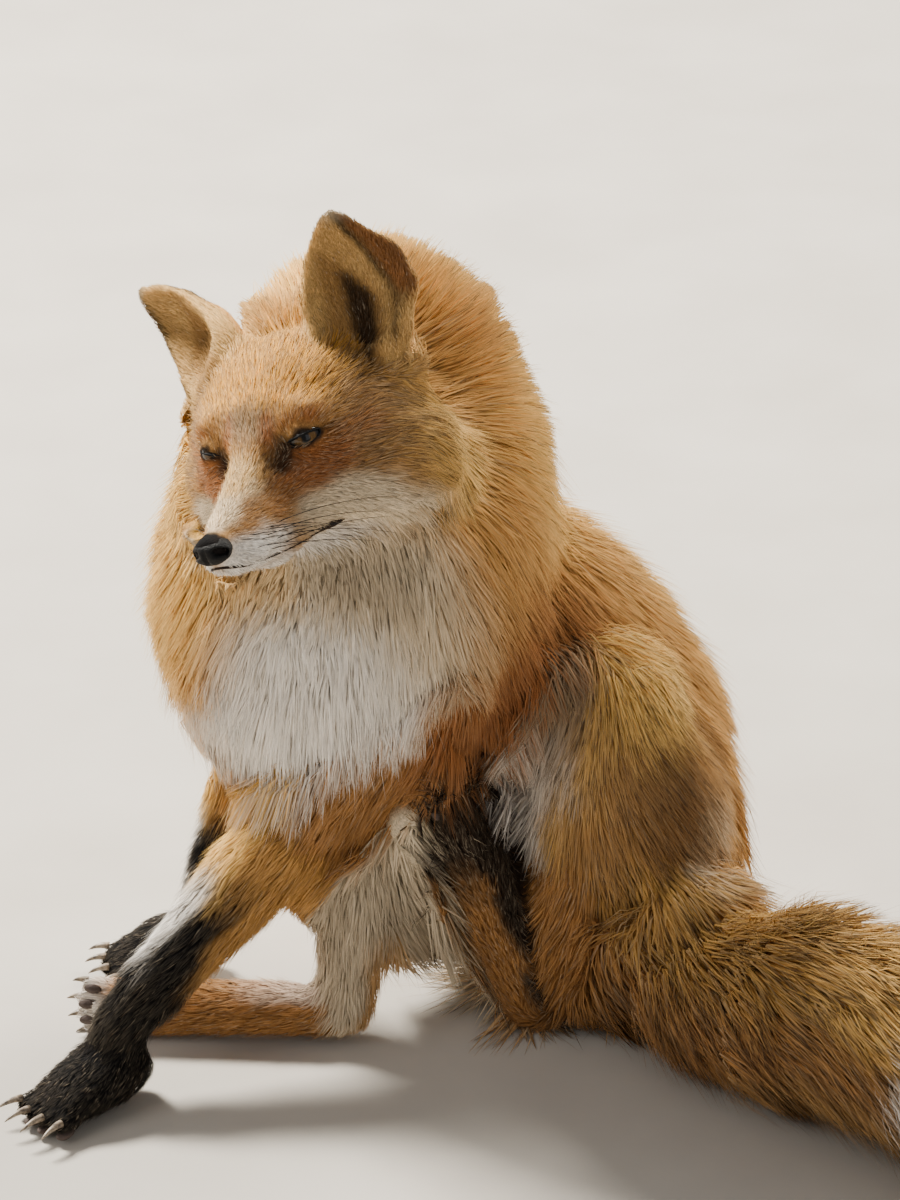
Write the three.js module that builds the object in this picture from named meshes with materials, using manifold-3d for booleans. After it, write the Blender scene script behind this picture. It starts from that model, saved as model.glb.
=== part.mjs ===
// A red fox in its winter coat, life-size, sitting on its right haunch with the
// left hind foot lifted to scratch.  Millimetres, +Z up.  The origin is the middle
// of the seat on the ground, the chest faces -Y and +X is the fox's left.
// Every solid reaches out to the tips of the coat.

import * as THREE from 'three';
import { mergeVertices } from 'three/addons/utils/BufferGeometryUtils.js';
import Module from 'manifold-3d';

const wasm = await Module();
wasm.setup();

// ---------------------------------------------------------------- dimensions

const GAP = 0.3; // clearance between neighbouring solids
const EYE_RADIUS = 9.5;
const EYE_SPACING = 48; // between the middles of the eyeballs
const NOSE_PAD_WIDTH = 21;
const EAR_LENGTH = 70; // from the middle of the root to the tip
const EAR_WIDTH = 60;
const FOREPAW_WIDTH = 42;
const HIND_PAW_WIDTH = 38;
const CLAW_RADIUS = 2;
const FORE_CLAW = 14;
const HIND_CLAW = 11;

// The pose: joints and landmarks, each [x, y, z]
const HEAD_PLACE = [-170, -101, 354]; // midway between the eyes
const HEAD_TURN = { pitchUp: 4, roll: 20, yaw: 156 }; // degrees
const NAPE = [-114, 16, 332];
const RUFF = [-120, -6, 282];
const CHEST = [-130, -20, 228];
const BRISKET = [-132, -36, 168];
const WITHERS = [-90, 4, 236];
const BACK = [-34, 28, 180];
const LOIN = [6, 24, 122];
const SEAT = [12, 6, 60];
const SHOULDER_LEFT = [-92, -60, 212];
const ELBOW_LEFT = [-158, -68, 122];
const WRIST_LEFT = [-243, -130, 46];
const TOES_LEFT = [-290, -170, 10];
const SHOULDER_RIGHT = [-186, -56, 215];
const ELBOW_RIGHT = [-184, -12, 138];
const WRIST_RIGHT = [-210, -8, 42];
const TOES_RIGHT = [-262, -18, 10];
const HIP_LEFT = [20, -34, 58];
const KNEE_LEFT = [6, -50, 166];
const HOCK_LEFT = [-33, -66, 16];
const HIND_TOES_LEFT = [-84, -62, 144];
const HIP_RIGHT = [-32, 2, 56];
const KNEE_RIGHT = [-122, -48, 138];
const HOCK_RIGHT = [-133, -76, 19];
const HIND_TOES_RIGHT = [-272, -70, 16];

const COLOURS = {
  rufous: 0xc8762f,
  cream: 0xe6dccb,
  tawny: 0x8a5a30,
  soot: 0x1f1c1b,
  amber: 0x7a5a1e,
};

// ------------------------------------------------------------------- helpers

const UP = new THREE.Vector3(0, 0, 1);
const TOWARDS_CHEST = new THREE.Vector3(0, -1, 0);
const vector = (place) => new THREE.Vector3(...place);
const radians = THREE.MathUtils.degToRad;

// The point a share of the way from one place to another; it may lie beyond.
const between = (from, to, share) => from.map((value, axis) => value + (to[axis] - value) * share);

function solidOf(geometry) {
  geometry.deleteAttribute('normal');
  geometry.deleteAttribute('uv');
  const merged = mergeVertices(geometry, 1e-4);
  return new wasm.Manifold(
    new wasm.Mesh({
      numProp: 3,
      vertProperties: merged.attributes.position.array,
      triVerts: Uint32Array.from(merged.index.array),
    }),
  );
}

function geometryOf(solid) {
  const { vertProperties, triVerts } = solid.getMesh();
  const geometry = new THREE.BufferGeometry();
  geometry.setAttribute('position', new THREE.BufferAttribute(vertProperties, 3));
  geometry.setIndex(new THREE.BufferAttribute(triVerts, 1));
  geometry.computeVertexNormals();
  return geometry;
}

const joined = (solids) => solids.reduce((sum, solid) => sum.add(solid));
const cut = (solid, tools) => tools.reduce((rest, tool) => rest.subtract(tool), solid);

function largest(solid) {
  const pieces = solid.decompose();
  return pieces.reduce((best, piece) => (piece.volume() > best.volume() ? piece : best));
}

// A closed form swept along a smooth path.  Each size is [half width, half
// height above, half height below]; both ends are rounded off.
function swept({ path, sizes, up = UP, sides = 10, rings = 7, blunt = 3 }, grow = 0) {
  const line = new THREE.CatmullRomCurve3(path.map(vector));
  const girth = new THREE.CatmullRomCurve3(sizes.map(vector));
  const geometry = new THREE.SphereGeometry(1, sides, rings);
  const position = geometry.attributes.position;
  const unit = new THREE.Vector3();
  for (let i = 0; i < position.count; i += 1) {
    unit.fromBufferAttribute(position, i);
    const along = THREE.MathUtils.clamp((1 - unit.y) / 2, 0, 1);
    const place = line.getPoint(along);
    const tangent = line.getTangent(along);
    const side = new THREE.Vector3().crossVectors(up, tangent).normalize();
    const above = new THREE.Vector3().crossVectors(tangent, side);
    const size = girth.getPoint(along);
    const rounding = (1 - Math.abs(2 * along - 1) ** blunt) ** (1 / blunt);
    const azimuth = Math.atan2(unit.z, unit.x);
    const height = Math.sin(azimuth) > 0 ? size.y : size.z;
    const shell = grow * Math.min(1, 4 * Math.hypot(unit.x, unit.z));
    place.addScaledVector(side, Math.cos(azimuth) * (size.x * rounding + shell));
    place.addScaledVector(above, Math.sin(azimuth) * (height * rounding + shell));
    place.addScaledVector(tangent, -grow * unit.y);
    position.setXYZ(i, place.x, place.y, place.z);
  }
  return solidOf(geometry);
}

function ball(centre, radii, { sides = 12, rings = 8, turn = null } = {}, grow = 0) {
  const geometry = new THREE.SphereGeometry(1, sides, rings);
  geometry.scale(radii[0] + grow, radii[1] + grow, radii[2] + grow);
  if (turn) geometry.applyQuaternion(turn);
  geometry.translate(...centre);
  return solidOf(geometry);
}

// All the space beyond a point, on the side that the direction points to.
function beyond(point, direction) {
  const reach = 1200;
  const geometry = new THREE.BoxGeometry(reach, reach, reach);
  geometry.translate(0, 0, reach / 2);
  const turn = new THREE.Quaternion().setFromUnitVectors(UP, vector(direction).normalize());
  geometry.applyQuaternion(turn);
  geometry.translate(...point);
  return solidOf(geometry);
}

// The two sides of a thin cut across a solid.
function parted(solid, point, direction) {
  const step = vector(direction).normalize().multiplyScalar(GAP);
  const far = vector(point).add(step).toArray();
  return {
    before: solid.subtract(beyond(point, direction)),
    after: solid.subtract(beyond(far, direction.map((value) => -value))),
  };
}

function mesh(name, solid, color, roughness = 0.9) {
  const material = new THREE.MeshStandardMaterial({ color, roughness, metalness: 0 });
  const result = new THREE.Mesh(geometryOf(solid), material);
  result.name = name;
  return result;
}

// ---------------------------------------------------------------------- head
// Head frame: origin midway between the eyes, +Y to the nose, +X to the fox's
// right, +Z to the crown.

// [distance forward, crown or bridge height, underside height, half width]
const HEAD_PROFILE = [
  [-96, 16, -22, 30],
  [-78, 38, -52, 56],
  [-52, 46, -66, 64],
  [-28, 39, -65, 60],
  [-8, 24, -61, 47],
  [10, 7, -57, 32],
  [30, -4, -53, 22],
  [52, -12, -50, 18.5],
  [68, -17, -47, 15],
  [77, -21, -43, 10],
];

function skull(grow) {
  const path = HEAD_PROFILE.map(([forward, top, bottom]) => [0, forward, (top + bottom) / 2]);
  const sizes = HEAD_PROFILE.map(([, top, bottom, half]) => {
    const height = (top - bottom) / 2;
    return [half, height, height];
  });
  return swept({ path, sizes, sides: 18, rings: 15, blunt: 4 }, grow);
}

function cheek(side, grow) {
  const path = [
    [side * 16, 10, -28],
    [side * 34, -16, -26],
    [side * 50, -44, -30],
    [side * 56, -84, -38],
  ];
  const sizes = [[12, 18, 18], [22, 32, 29], [26, 38, 33], [18, 26, 20]];
  return swept({ path, sizes, sides: 9, rings: 6 }, grow);
}

const eyeCentre = (side) => [(side * EYE_SPACING) / 2, 2, 0];

function eyeball(side, grow = 0) {
  return ball(eyeCentre(side), [EYE_RADIUS, EYE_RADIUS, EYE_RADIUS], { sides: 10, rings: 6 }, grow);
}

// The slanting gap between the lids, from the eyeball out through the coat.
function eyeOpening(side) {
  const outward = new THREE.Vector3(side * 0.74, 0.62, 0.15).normalize();
  const turn = new THREE.Quaternion().setFromUnitVectors(new THREE.Vector3(1, 0, 0), outward);
  const centre = vector(eyeCentre(side)).addScaledVector(outward, 12);
  return ball(centre.toArray(), [10, 9, 5.5], { sides: 7, rings: 4, turn });
}

function brow(side, grow) {
  return ball([side * 23, -8, 9], [18, 18, 12], { sides: 8, rings: 4 }, grow);
}

function nosePad(grow = 0) {
  const half = NOSE_PAD_WIDTH / 2;
  const path = [[0, 64, -29], [0, 74, -28], [0, 82, -28.5]];
  const sizes = [[half - 3, 7, 7], [half, 8.5, 8], [half - 2, 6, 7]];
  return swept({ path, sizes, sides: 10, rings: 6 }, grow);
}

function nostril(side) {
  return ball([side * 5.5, 81, -28], [2.6, 3.5, 2.2], { sides: 6, rings: 4 });
}

function wholeHead(grow = 0) {
  return joined([skull(grow), cheek(-1, grow), cheek(1, grow), brow(-1, grow), brow(1, grow)]);
}

// ---------------------------------------------------------------------- ears
// Ear frame: origin at the middle of the root, +Z to the tip, +Y the way it opens.

const EARS = [
  { name: 'ear_left', place: [-41, -48, 30], tip: [-0.11, 0.1, 0.98], opens: [-0.25, 0.95, -0.1] },
  { name: 'ear_right', place: [44, -50, 28], tip: [0.71, -0.34, 0.61], opens: [0.27, 0.94, 0.21] },
];

function earForm(grow = 0) {
  const half = EAR_WIDTH / 2;
  return swept(
    {
      path: [[0, 0, -16], [0, -2, 6], [0, -5, 31], [0, -4, 54], [0, 0, EAR_LENGTH]],
      sizes: [[half * 0.84, 15, 17], [half, 15, 17], [half * 0.88, 11, 12], [half * 0.54, 7, 8], [5, 3, 3]],
      up: TOWARDS_CHEST,
      blunt: 5,
    },
    grow,
  );
}

function earHollow() {
  const half = EAR_WIDTH / 2;
  return swept({
    path: [[0, 8, -2], [0, 7, 20], [0, 5, 44], [0, 5, EAR_LENGTH - 6]],
    sizes: [[half * 0.66, 13, 22], [half * 0.8, 12, 22], [half * 0.6, 9, 20], [3, 4, 12]],
    up: TOWARDS_CHEST,
    sides: 9,
    rings: 5,
  });
}

function earMatrix({ place, tip, opens }) {
  const along = vector(tip).normalize();
  const across = new THREE.Vector3().crossVectors(vector(opens), along).normalize();
  const front = new THREE.Vector3().crossVectors(along, across);
  return new THREE.Matrix4().makeBasis(across, front, along).setPosition(...place);
}

// --------------------------------------------------------------------- trunk

// The upright column of nape, ruff, chest and brisket, and the barrel that runs
// from the withers over the hunched back to the seat.
function wholeTrunk(grow = 0) {
  const column = swept(
    {
      path: [[-150, 16, 406], NAPE, RUFF, CHEST, BRISKET, [-132, -44, 120]],
      sizes: [[72, 40, 58], [88, 64, 68], [102, 88, 84], [109, 96, 92], [95, 68, 76], [60, 44, 46]],
      up: new THREE.Vector3(0, 1, 0),
      sides: 16,
      rings: 12,
    },
    grow,
  );
  const barrel = swept(
    {
      path: [[-128, -12, 262], WITHERS, BACK, LOIN, SEAT, [8, -2, -6]],
      sizes: [[70, 66, 60], [76, 72, 70], [72, 72, 74], [68, 70, 66], [70, 66, 58], [54, 46, 44]],
      up: new THREE.Vector3(0.55, 0.35, 0.75),
      sides: 14,
      rings: 11,
      blunt: 4,
    },
    grow,
  );
  const belly = swept(
    {
      path: [[-112, -14, 168], [-92, -18, 118], [-66, -22, 66], [-46, -18, 30], [-34, -10, 0]],
      sizes: [[34, 34, 34], [42, 40, 36], [46, 44, 34], [42, 40, 30], [24, 24, 20]],
      up: new THREE.Vector3(1, 0.4, 0.4),
      rings: 8,
      blunt: 4,
    },
    grow,
  );
  return joined([column, barrel, belly]);
}

// ---------------------------------------------------------------------- limbs

// Four toes with their claws, spread over the width of the paw.
function toes({ tip, forward, above, width, clawLength }, grow) {
  const ahead = vector(forward).normalize();
  const side = new THREE.Vector3().crossVectors(vector(above), ahead).normalize();
  const top = new THREE.Vector3().crossVectors(ahead, side);
  const toeRadius = width * 0.15;
  const pieces = [];
  for (let toe = 0; toe < 4; toe += 1) {
    const across = (toe - 1.5) / 1.5;
    const splay = ahead.clone().addScaledVector(side, across * 0.2).normalize();
    const middle = vector(tip)
      .addScaledVector(side, across * (width / 2 - toeRadius))
      .addScaledVector(ahead, -9 - Math.abs(across) * 5);
    const turn = new THREE.Quaternion().setFromUnitVectors(new THREE.Vector3(0, 1, 0), splay);
    const radii = [toeRadius, 13, toeRadius * 1.15];
    pieces.push(ball(middle.toArray(), radii, { sides: 6, rings: 4, turn }, grow));
    const claw = new THREE.ConeGeometry(CLAW_RADIUS + grow, clawLength, 4);
    claw.applyQuaternion(turn);
    const root = middle.clone().addScaledVector(splay, 9 + clawLength / 2).addScaledVector(top, 1.5);
    claw.translate(...root.toArray());
    pieces.push(solidOf(claw));
  }
  return joined(pieces);
}

function upperForeleg(shoulder, elbow, width) {
  return (grow = 0) =>
    swept(
      {
        path: [
          between(shoulder, elbow, -0.35),
          shoulder,
          between(shoulder, elbow, 0.5),
          elbow,
          between(shoulder, elbow, 1.12),
        ],
        sizes: [
          [width * 0.8, width * 0.9, width],
          [width * 1.05, width * 1.15, width * 1.15],
          [width, width * 1.05, width * 1.1],
          [width * 0.8, width * 0.85, width * 0.9],
          [width * 0.55, width * 0.6, width * 0.6],
        ],
        up: TOWARDS_CHEST,
        blunt: 4,
      },
      grow,
    );
}

function lowerForeleg(elbow, wrist, topWidth, wristWidth) {
  const middle = (topWidth + wristWidth) * 0.46;
  return (grow = 0) =>
    swept(
      {
        path: [
          between(elbow, wrist, -0.12),
          elbow,
          between(elbow, wrist, 0.5),
          wrist,
          between(elbow, wrist, 1.14),
        ],
        sizes: [
          [topWidth * 0.8, topWidth * 0.8, topWidth * 0.8],
          [topWidth, topWidth, topWidth],
          [middle, middle, middle],
          [wristWidth, wristWidth, wristWidth],
          [wristWidth, wristWidth * 0.9, wristWidth * 0.9],
        ],
        blunt: 5,
      },
      grow,
    );
}

function forepaw(wrist, tip) {
  const half = FOREPAW_WIDTH / 2;
  const at = (share, height) => [...between(wrist, tip, share).slice(0, 2), height];
  return (grow = 0) => {
    const pad = swept(
      {
        path: [at(-0.16, 28), at(0.15, 23), at(0.55, 17), at(0.92, 11)],
        sizes: [[half * 0.7, 16, 20], [half * 0.9, 18, 24], [half, 12, 18], [half * 0.8, 7, 12]],
        sides: 8,
        blunt: 4,
      },
      grow,
    );
    const forward = [tip[0] - wrist[0], tip[1] - wrist[1], 0];
    const shape = { tip, forward, above: [0, 0, 1], width: FOREPAW_WIDTH, clawLength: FORE_CLAW };
    return pad.add(toes(shape, grow));
  };
}

function thigh(path, sizes, up) {
  return (grow = 0) => swept({ path, sizes, up, sides: 12, rings: 9, blunt: 4 }, grow);
}

function shank(knee, hock, kneeWidth, hockWidth) {
  const middle = (kneeWidth + hockWidth) * 0.5;
  return (grow = 0) =>
    swept(
      {
        path: [knee, between(knee, hock, 0.55), hock, between(knee, hock, 1.1)],
        sizes: [
          [kneeWidth, kneeWidth, kneeWidth],
          [middle, middle, middle],
          [hockWidth, hockWidth, hockWidth],
          [hockWidth * 0.9, hockWidth * 0.9, hockWidth * 0.9],
        ],
        up: TOWARDS_CHEST,
        blunt: 5,
      },
      grow,
    );
}

function hindFoot(hock, tip, above, legHalf) {
  const half = HIND_PAW_WIDTH / 2;
  const at = (share) => between(hock, tip, share);
  return (grow = 0) => {
    const sole = swept(
      {
        path: [at(-0.1), at(0.12), at(0.5), at(0.84), at(0.96)],
        sizes: [
          [legHalf * 0.9, legHalf * 0.9, legHalf * 0.9],
          [legHalf, legHalf, legHalf],
          [legHalf * 0.9, legHalf * 0.9, legHalf * 0.9],
          [half, half * 0.75, half * 0.8],
          [half * 0.8, half * 0.5, half * 0.55],
        ],
        up: vector(above),
        sides: 9,
        blunt: 5,
      },
      grow,
    );
    const forward = vector(tip).sub(vector(hock)).toArray();
    return sole.add(toes({ tip, forward, above, width: HIND_PAW_WIDTH, clawLength: HIND_CLAW }, grow));
  };
}

// ----------------------------------------------------------------------- tail

const TAIL_PATH = [
  [18, 6, 44],
  [24, -50, 42],
  [50, -94, 46],
  [94, -132, 56],
  [140, -166, 58],
  [176, -214, 52],
  [186, -270, 38],
  [168, -318, 14],
];
const TAIL_SIZES = [
  [32, 30, 40],
  [46, 42, 46],
  [52, 52, 54],
  [58, 60, 58],
  [60, 60, 60],
  [54, 52, 54],
  [38, 36, 40],
  [14, 12, 16],
];
const TAIL_CUTS = [
  { point: [88, -128, 50], direction: [0.75, -0.66, 0] },
  { point: [172, -206, 50], direction: [0.45, -0.89, 0] },
];

function wholeTail(grow = 0) {
  return swept({ path: TAIL_PATH, sizes: TAIL_SIZES, sides: 12, rings: 15, blunt: 4 }, grow);
}

// --------------------------------------------------------------------- plan
// Each limb piece and the pieces that it makes room for.

const LIMBS = {
  forepaw_left: { form: forepaw(WRIST_LEFT, TOES_LEFT), colour: 'soot', around: [] },
  forepaw_right: { form: forepaw(WRIST_RIGHT, TOES_RIGHT), colour: 'soot', around: [] },
  hind_foot_left: {
    form: hindFoot(HOCK_LEFT, HIND_TOES_LEFT, [0.8, -0.1, 0.45], 21),
    colour: 'tawny',
    around: [],
  },
  hind_foot_right: {
    form: hindFoot(HOCK_RIGHT, HIND_TOES_RIGHT, [0, 1, 0.05], 17),
    colour: 'tawny',
    around: ['forepaw_right'],
  },
  lower_foreleg_left: {
    form: lowerForeleg(ELBOW_LEFT, WRIST_LEFT, 31, 18),
    colour: 'soot',
    around: ['forepaw_left', 'hind_foot_right'],
  },
  lower_foreleg_right: {
    form: lowerForeleg(ELBOW_RIGHT, WRIST_RIGHT, 20, 15),
    colour: 'soot',
    around: ['forepaw_right', 'hind_foot_right'],
  },
  upper_foreleg_left: {
    form: upperForeleg(SHOULDER_LEFT, ELBOW_LEFT, 38),
    colour: 'rufous',
    around: ['lower_foreleg_left'],
  },
  upper_foreleg_right: {
    form: upperForeleg(SHOULDER_RIGHT, ELBOW_RIGHT, 32),
    colour: 'rufous',
    around: ['lower_foreleg_right', 'lower_foreleg_left', 'upper_foreleg_left'],
  },
  shank_left: {
    form: shank(KNEE_LEFT, HOCK_LEFT, 30, 18),
    colour: 'rufous',
    around: ['hind_foot_left'],
  },
  shank_right: {
    form: shank(KNEE_RIGHT, HOCK_RIGHT, 28, 19),
    colour: 'cream',
    around: ['hind_foot_right', 'lower_foreleg_left', 'upper_foreleg_left'],
  },
  thigh_left: {
    form: thigh(
      [[4, -46, 0], HIP_LEFT, between(HIP_LEFT, KNEE_LEFT, 0.5), KNEE_LEFT, [16, -44, 216]],
      [[36, 30, 40], [50, 44, 64], [57, 46, 62], [46, 40, 46], [26, 22, 22]],
      TOWARDS_CHEST,
    ),
    colour: 'rufous',
    around: ['shank_left', 'hind_foot_left'],
  },
  thigh_right: {
    form: thigh(
      [
        between(HIP_RIGHT, KNEE_RIGHT, -0.2),
        HIP_RIGHT,
        between(HIP_RIGHT, KNEE_RIGHT, 0.5),
        KNEE_RIGHT,
        between(HIP_RIGHT, KNEE_RIGHT, 1.12),
      ],
      [[36, 36, 40], [42, 40, 58], [38, 36, 74], [28, 28, 50], [16, 16, 26]],
      UP,
    ),
    colour: 'cream',
    around: [
      'shank_right',
      'shank_left',
      'thigh_left',
      'hind_foot_left',
      'lower_foreleg_left',
      'upper_foreleg_left',
    ],
  },
};

const TRUNK_CUTS = [
  { name: 'neck', colour: 'rufous', point: [-127, -8, 268], direction: [-0.1, -0.1, -1] },
  { name: 'chest', colour: 'cream', point: [-62, 14, 200], direction: [0.62, 0.25, -0.74] },
  { name: 'loin', colour: 'rufous', point: [0, 20, 98], direction: [0.1, -0.1, -1] },
];

// --------------------------------------------------------------------- build

const fox = new THREE.Group();
const headGroup = new THREE.Group();

const ground = beyond([0, 0, 0], [0, 0, -1]);

// manifold-3d takes a placement as sixteen numbers, column by column
const placed = (solid, matrix) => solid.transform(matrix.elements);

function placeHead() {
  headGroup.position.set(...HEAD_PLACE);
  const { pitchUp, roll, yaw } = HEAD_TURN;
  headGroup.rotation.set(radians(pitchUp), radians(roll), radians(yaw), 'ZYX');
  headGroup.updateMatrixWorld(true);
  fox.add(headGroup);
}

function buildHead() {
  const sides = [-1, 1];
  const sockets = sides.map((side) => eyeball(side, GAP));
  const head = cut(wholeHead(), [...sockets, ...sides.map(eyeOpening), nosePad(GAP)]);
  headGroup.add(mesh('head', largest(head), COLOURS.rufous));
  headGroup.add(mesh('nose', cut(nosePad(), sides.map(nostril)), COLOURS.soot, 0.35));
  headGroup.add(mesh('eye_left', eyeball(-1), COLOURS.amber, 0.1));
  headGroup.add(mesh('eye_right', eyeball(1), COLOURS.amber, 0.1));
}

function buildEars() {
  const head = wholeHead(GAP);
  for (const ear of EARS) {
    const group = new THREE.Group();
    group.applyMatrix4(earMatrix(ear));
    group.updateMatrix();
    const room = placed(head, group.matrix.clone().invert());
    const solid = largest(cut(earForm(), [earHollow(), room]));
    group.add(mesh(ear.name, solid, COLOURS.rufous));
    headGroup.add(group);
  }
}

function buildTrunk() {
  const head = placed(wholeHead(GAP), headGroup.matrixWorld);
  const ears = EARS.map((ear) => {
    const matrix = headGroup.matrixWorld.clone().multiply(earMatrix(ear));
    return placed(earForm(GAP), matrix);
  });
  const limbs = Object.values(LIMBS).map(({ form }) => form(GAP));
  let rest = cut(wholeTrunk(), [ground, head, ...ears, ...limbs]);
  for (const { name, colour, point, direction } of TRUNK_CUTS) {
    const { before, after } = parted(rest, point, direction);
    fox.add(mesh(name, largest(before), COLOURS[colour]));
    rest = after;
  }
  fox.add(mesh('rump', largest(rest), COLOURS.rufous));
}

function buildLimbs() {
  for (const [name, { form, colour, around }] of Object.entries(LIMBS)) {
    const neighbours = around.map((other) => LIMBS[other].form(GAP));
    const solid = largest(cut(form(), [ground, ...neighbours]));
    fox.add(mesh(name, solid, COLOURS[colour]));
  }
}

function buildTail() {
  const neighbours = ['thigh_left', 'thigh_right', 'shank_left'].map((name) => LIMBS[name].form(GAP));
  let rest = largest(cut(wholeTail(), [ground, wholeTrunk(GAP), ...neighbours]));
  const names = ['tail_base', 'tail_middle', 'tail_tip'];
  TAIL_CUTS.forEach(({ point, direction }, index) => {
    const { before, after } = parted(rest, point, direction);
    fox.add(mesh(names[index], largest(before), COLOURS.tawny));
    rest = after;
  });
  fox.add(mesh(names[2], largest(rest), COLOURS.cream));
}

placeHead();
buildHead();
buildEars();
buildTrunk();
buildLimbs();
buildTail();

export default fox;
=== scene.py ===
import math

import bpy
import numpy as np
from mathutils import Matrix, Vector
from mathutils.bvhtree import BVHTree
from mathutils.kdtree import KDTree


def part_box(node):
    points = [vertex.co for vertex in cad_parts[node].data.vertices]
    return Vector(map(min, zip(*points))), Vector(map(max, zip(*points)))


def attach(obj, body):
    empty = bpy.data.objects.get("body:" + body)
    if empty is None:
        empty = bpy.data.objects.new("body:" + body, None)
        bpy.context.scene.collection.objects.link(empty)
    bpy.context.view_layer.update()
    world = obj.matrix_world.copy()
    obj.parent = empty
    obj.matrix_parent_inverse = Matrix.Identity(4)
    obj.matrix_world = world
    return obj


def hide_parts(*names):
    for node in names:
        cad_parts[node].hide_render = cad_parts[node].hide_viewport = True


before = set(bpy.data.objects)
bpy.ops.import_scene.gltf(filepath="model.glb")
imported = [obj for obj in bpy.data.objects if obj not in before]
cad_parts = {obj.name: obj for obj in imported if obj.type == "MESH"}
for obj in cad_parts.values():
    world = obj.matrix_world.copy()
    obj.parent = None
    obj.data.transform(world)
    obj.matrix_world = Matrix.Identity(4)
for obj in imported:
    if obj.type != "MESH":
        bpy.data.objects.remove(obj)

bl_info = {
    "name": "Sitting Fox",
    "version": (1, 0, 0),
    "blender": (4, 5, 0),
    "location": "3D View > Sidebar > Fox",
    "description": "Skin, coat, eyes, nose, claws, whiskers and stage of a sitting red fox",
    "category": "Object",
}

MM = 0.001
SEED = 11
NODES = sorted(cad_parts)
HARD = {"nose", "eye_left", "eye_right"}
FLESH = [node for node in NODES if node not in HARD]
NUMBER = {node: index for index, node in enumerate(NODES)}

# ------------------------------------------------------------- pose landmarks
# Joints of the pose, in millimetres, in the frame's own axes.

POSE = {
    "nape": (-114, 16, 332),
    "withers": (-90, 4, 236),
    "seat": (12, 6, 60),
    "shoulder_left": (-92, -60, 212),
    "elbow_left": (-158, -68, 122),
    "wrist_left": (-243, -130, 46),
    "toes_left": (-290, -170, 10),
    "shoulder_right": (-186, -56, 215),
    "elbow_right": (-184, -12, 138),
    "wrist_right": (-210, -8, 42),
    "toes_right": (-262, -18, 10),
    "hip_left": (20, -34, 58),
    "knee_left": (6, -50, 166),
    "hock_left": (-33, -66, 16),
    "hind_toes_left": (-84, -62, 144),
    "hip_right": (-32, 2, 56),
    "knee_right": (-122, -48, 138),
    "hock_right": (-133, -76, 19),
    "hind_toes_right": (-272, -70, 16),
}
AT = {name: np.array(place, float) for name, place in POSE.items()}

# Each paw: its toes' tips, what they point from, the side its back faces,
# its width and its claws' length.
PAWS = {
    "forepaw_left": ("toes_left", "wrist_left", (0, 0, 1), 42, 14),
    "forepaw_right": ("toes_right", "wrist_right", (0, 0, 1), 42, 10),
    "hind_foot_left": ("hind_toes_left", "hock_left", (0.8, -0.1, 0.45), 38, 9),
    "hind_foot_right": ("hind_toes_right", "hock_right", (0, 1, 0.05), 38, 7),
}

# The hair of a limb lies from its first landmark to its second.
LIMB_LIE = {
    "upper_foreleg_left": ("shoulder_left", "elbow_left"),
    "lower_foreleg_left": ("elbow_left", "wrist_left"),
    "forepaw_left": ("wrist_left", "toes_left"),
    "upper_foreleg_right": ("shoulder_right", "elbow_right"),
    "lower_foreleg_right": ("elbow_right", "wrist_right"),
    "forepaw_right": ("wrist_right", "toes_right"),
    "shank_left": ("knee_left", "hock_left"),
    "hind_foot_left": ("hock_left", "hind_toes_left"),
    "thigh_right": ("knee_right", "hip_right"),
    "shank_right": ("knee_right", "hock_right"),
    "hind_foot_right": ("hock_right", "hind_toes_right"),
}

# Depth of the coat, length of its locks, their width and the gap between their
# roots, in millimetres.
COAT = {
    "head": (6, 12, 0.62, 1.3),
    "ear_left": (1.3, 5, 0.5, 1.0),
    "ear_right": (1.3, 5, 0.5, 1.0),
    "neck": (24, 48, 1.3, 2.2),
    "chest": (22, 42, 1.25, 2.2),
    "loin": (20, 44, 1.4, 2.5),
    "rump": (22, 46, 1.5, 2.8),
    "thigh_left": (17, 38, 1.3, 2.2),
    "thigh_right": (14, 30, 1.3, 2.6),
    "shank_left": (8, 20, 0.8, 2.0),
    "shank_right": (8, 20, 0.8, 2.0),
    "hind_foot_left": (4, 10, 0.65, 1.5),
    "hind_foot_right": (4, 10, 0.65, 1.5),
    "upper_foreleg_left": (13, 28, 0.85, 2.0),
    "upper_foreleg_right": (12, 28, 0.9, 2.2),
    "lower_foreleg_left": (6, 15, 0.7, 1.6),
    "lower_foreleg_right": (5, 14, 0.75, 1.8),
    "forepaw_left": (2.5, 7, 0.55, 1.3),
    "forepaw_right": (2.5, 7, 0.55, 1.3),
    "tail_base": (30, 50, 1.4, 2.4),
    "tail_middle": (30, 52, 1.4, 2.4),
    "tail_tip": (26, 48, 1.3, 2.3),
    "nose": (0.5, 2, 0.4, 9),
    "eye_left": (0.2, 1, 0.4, 9),
    "eye_right": (0.2, 1, 0.4, 9),
}

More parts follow.
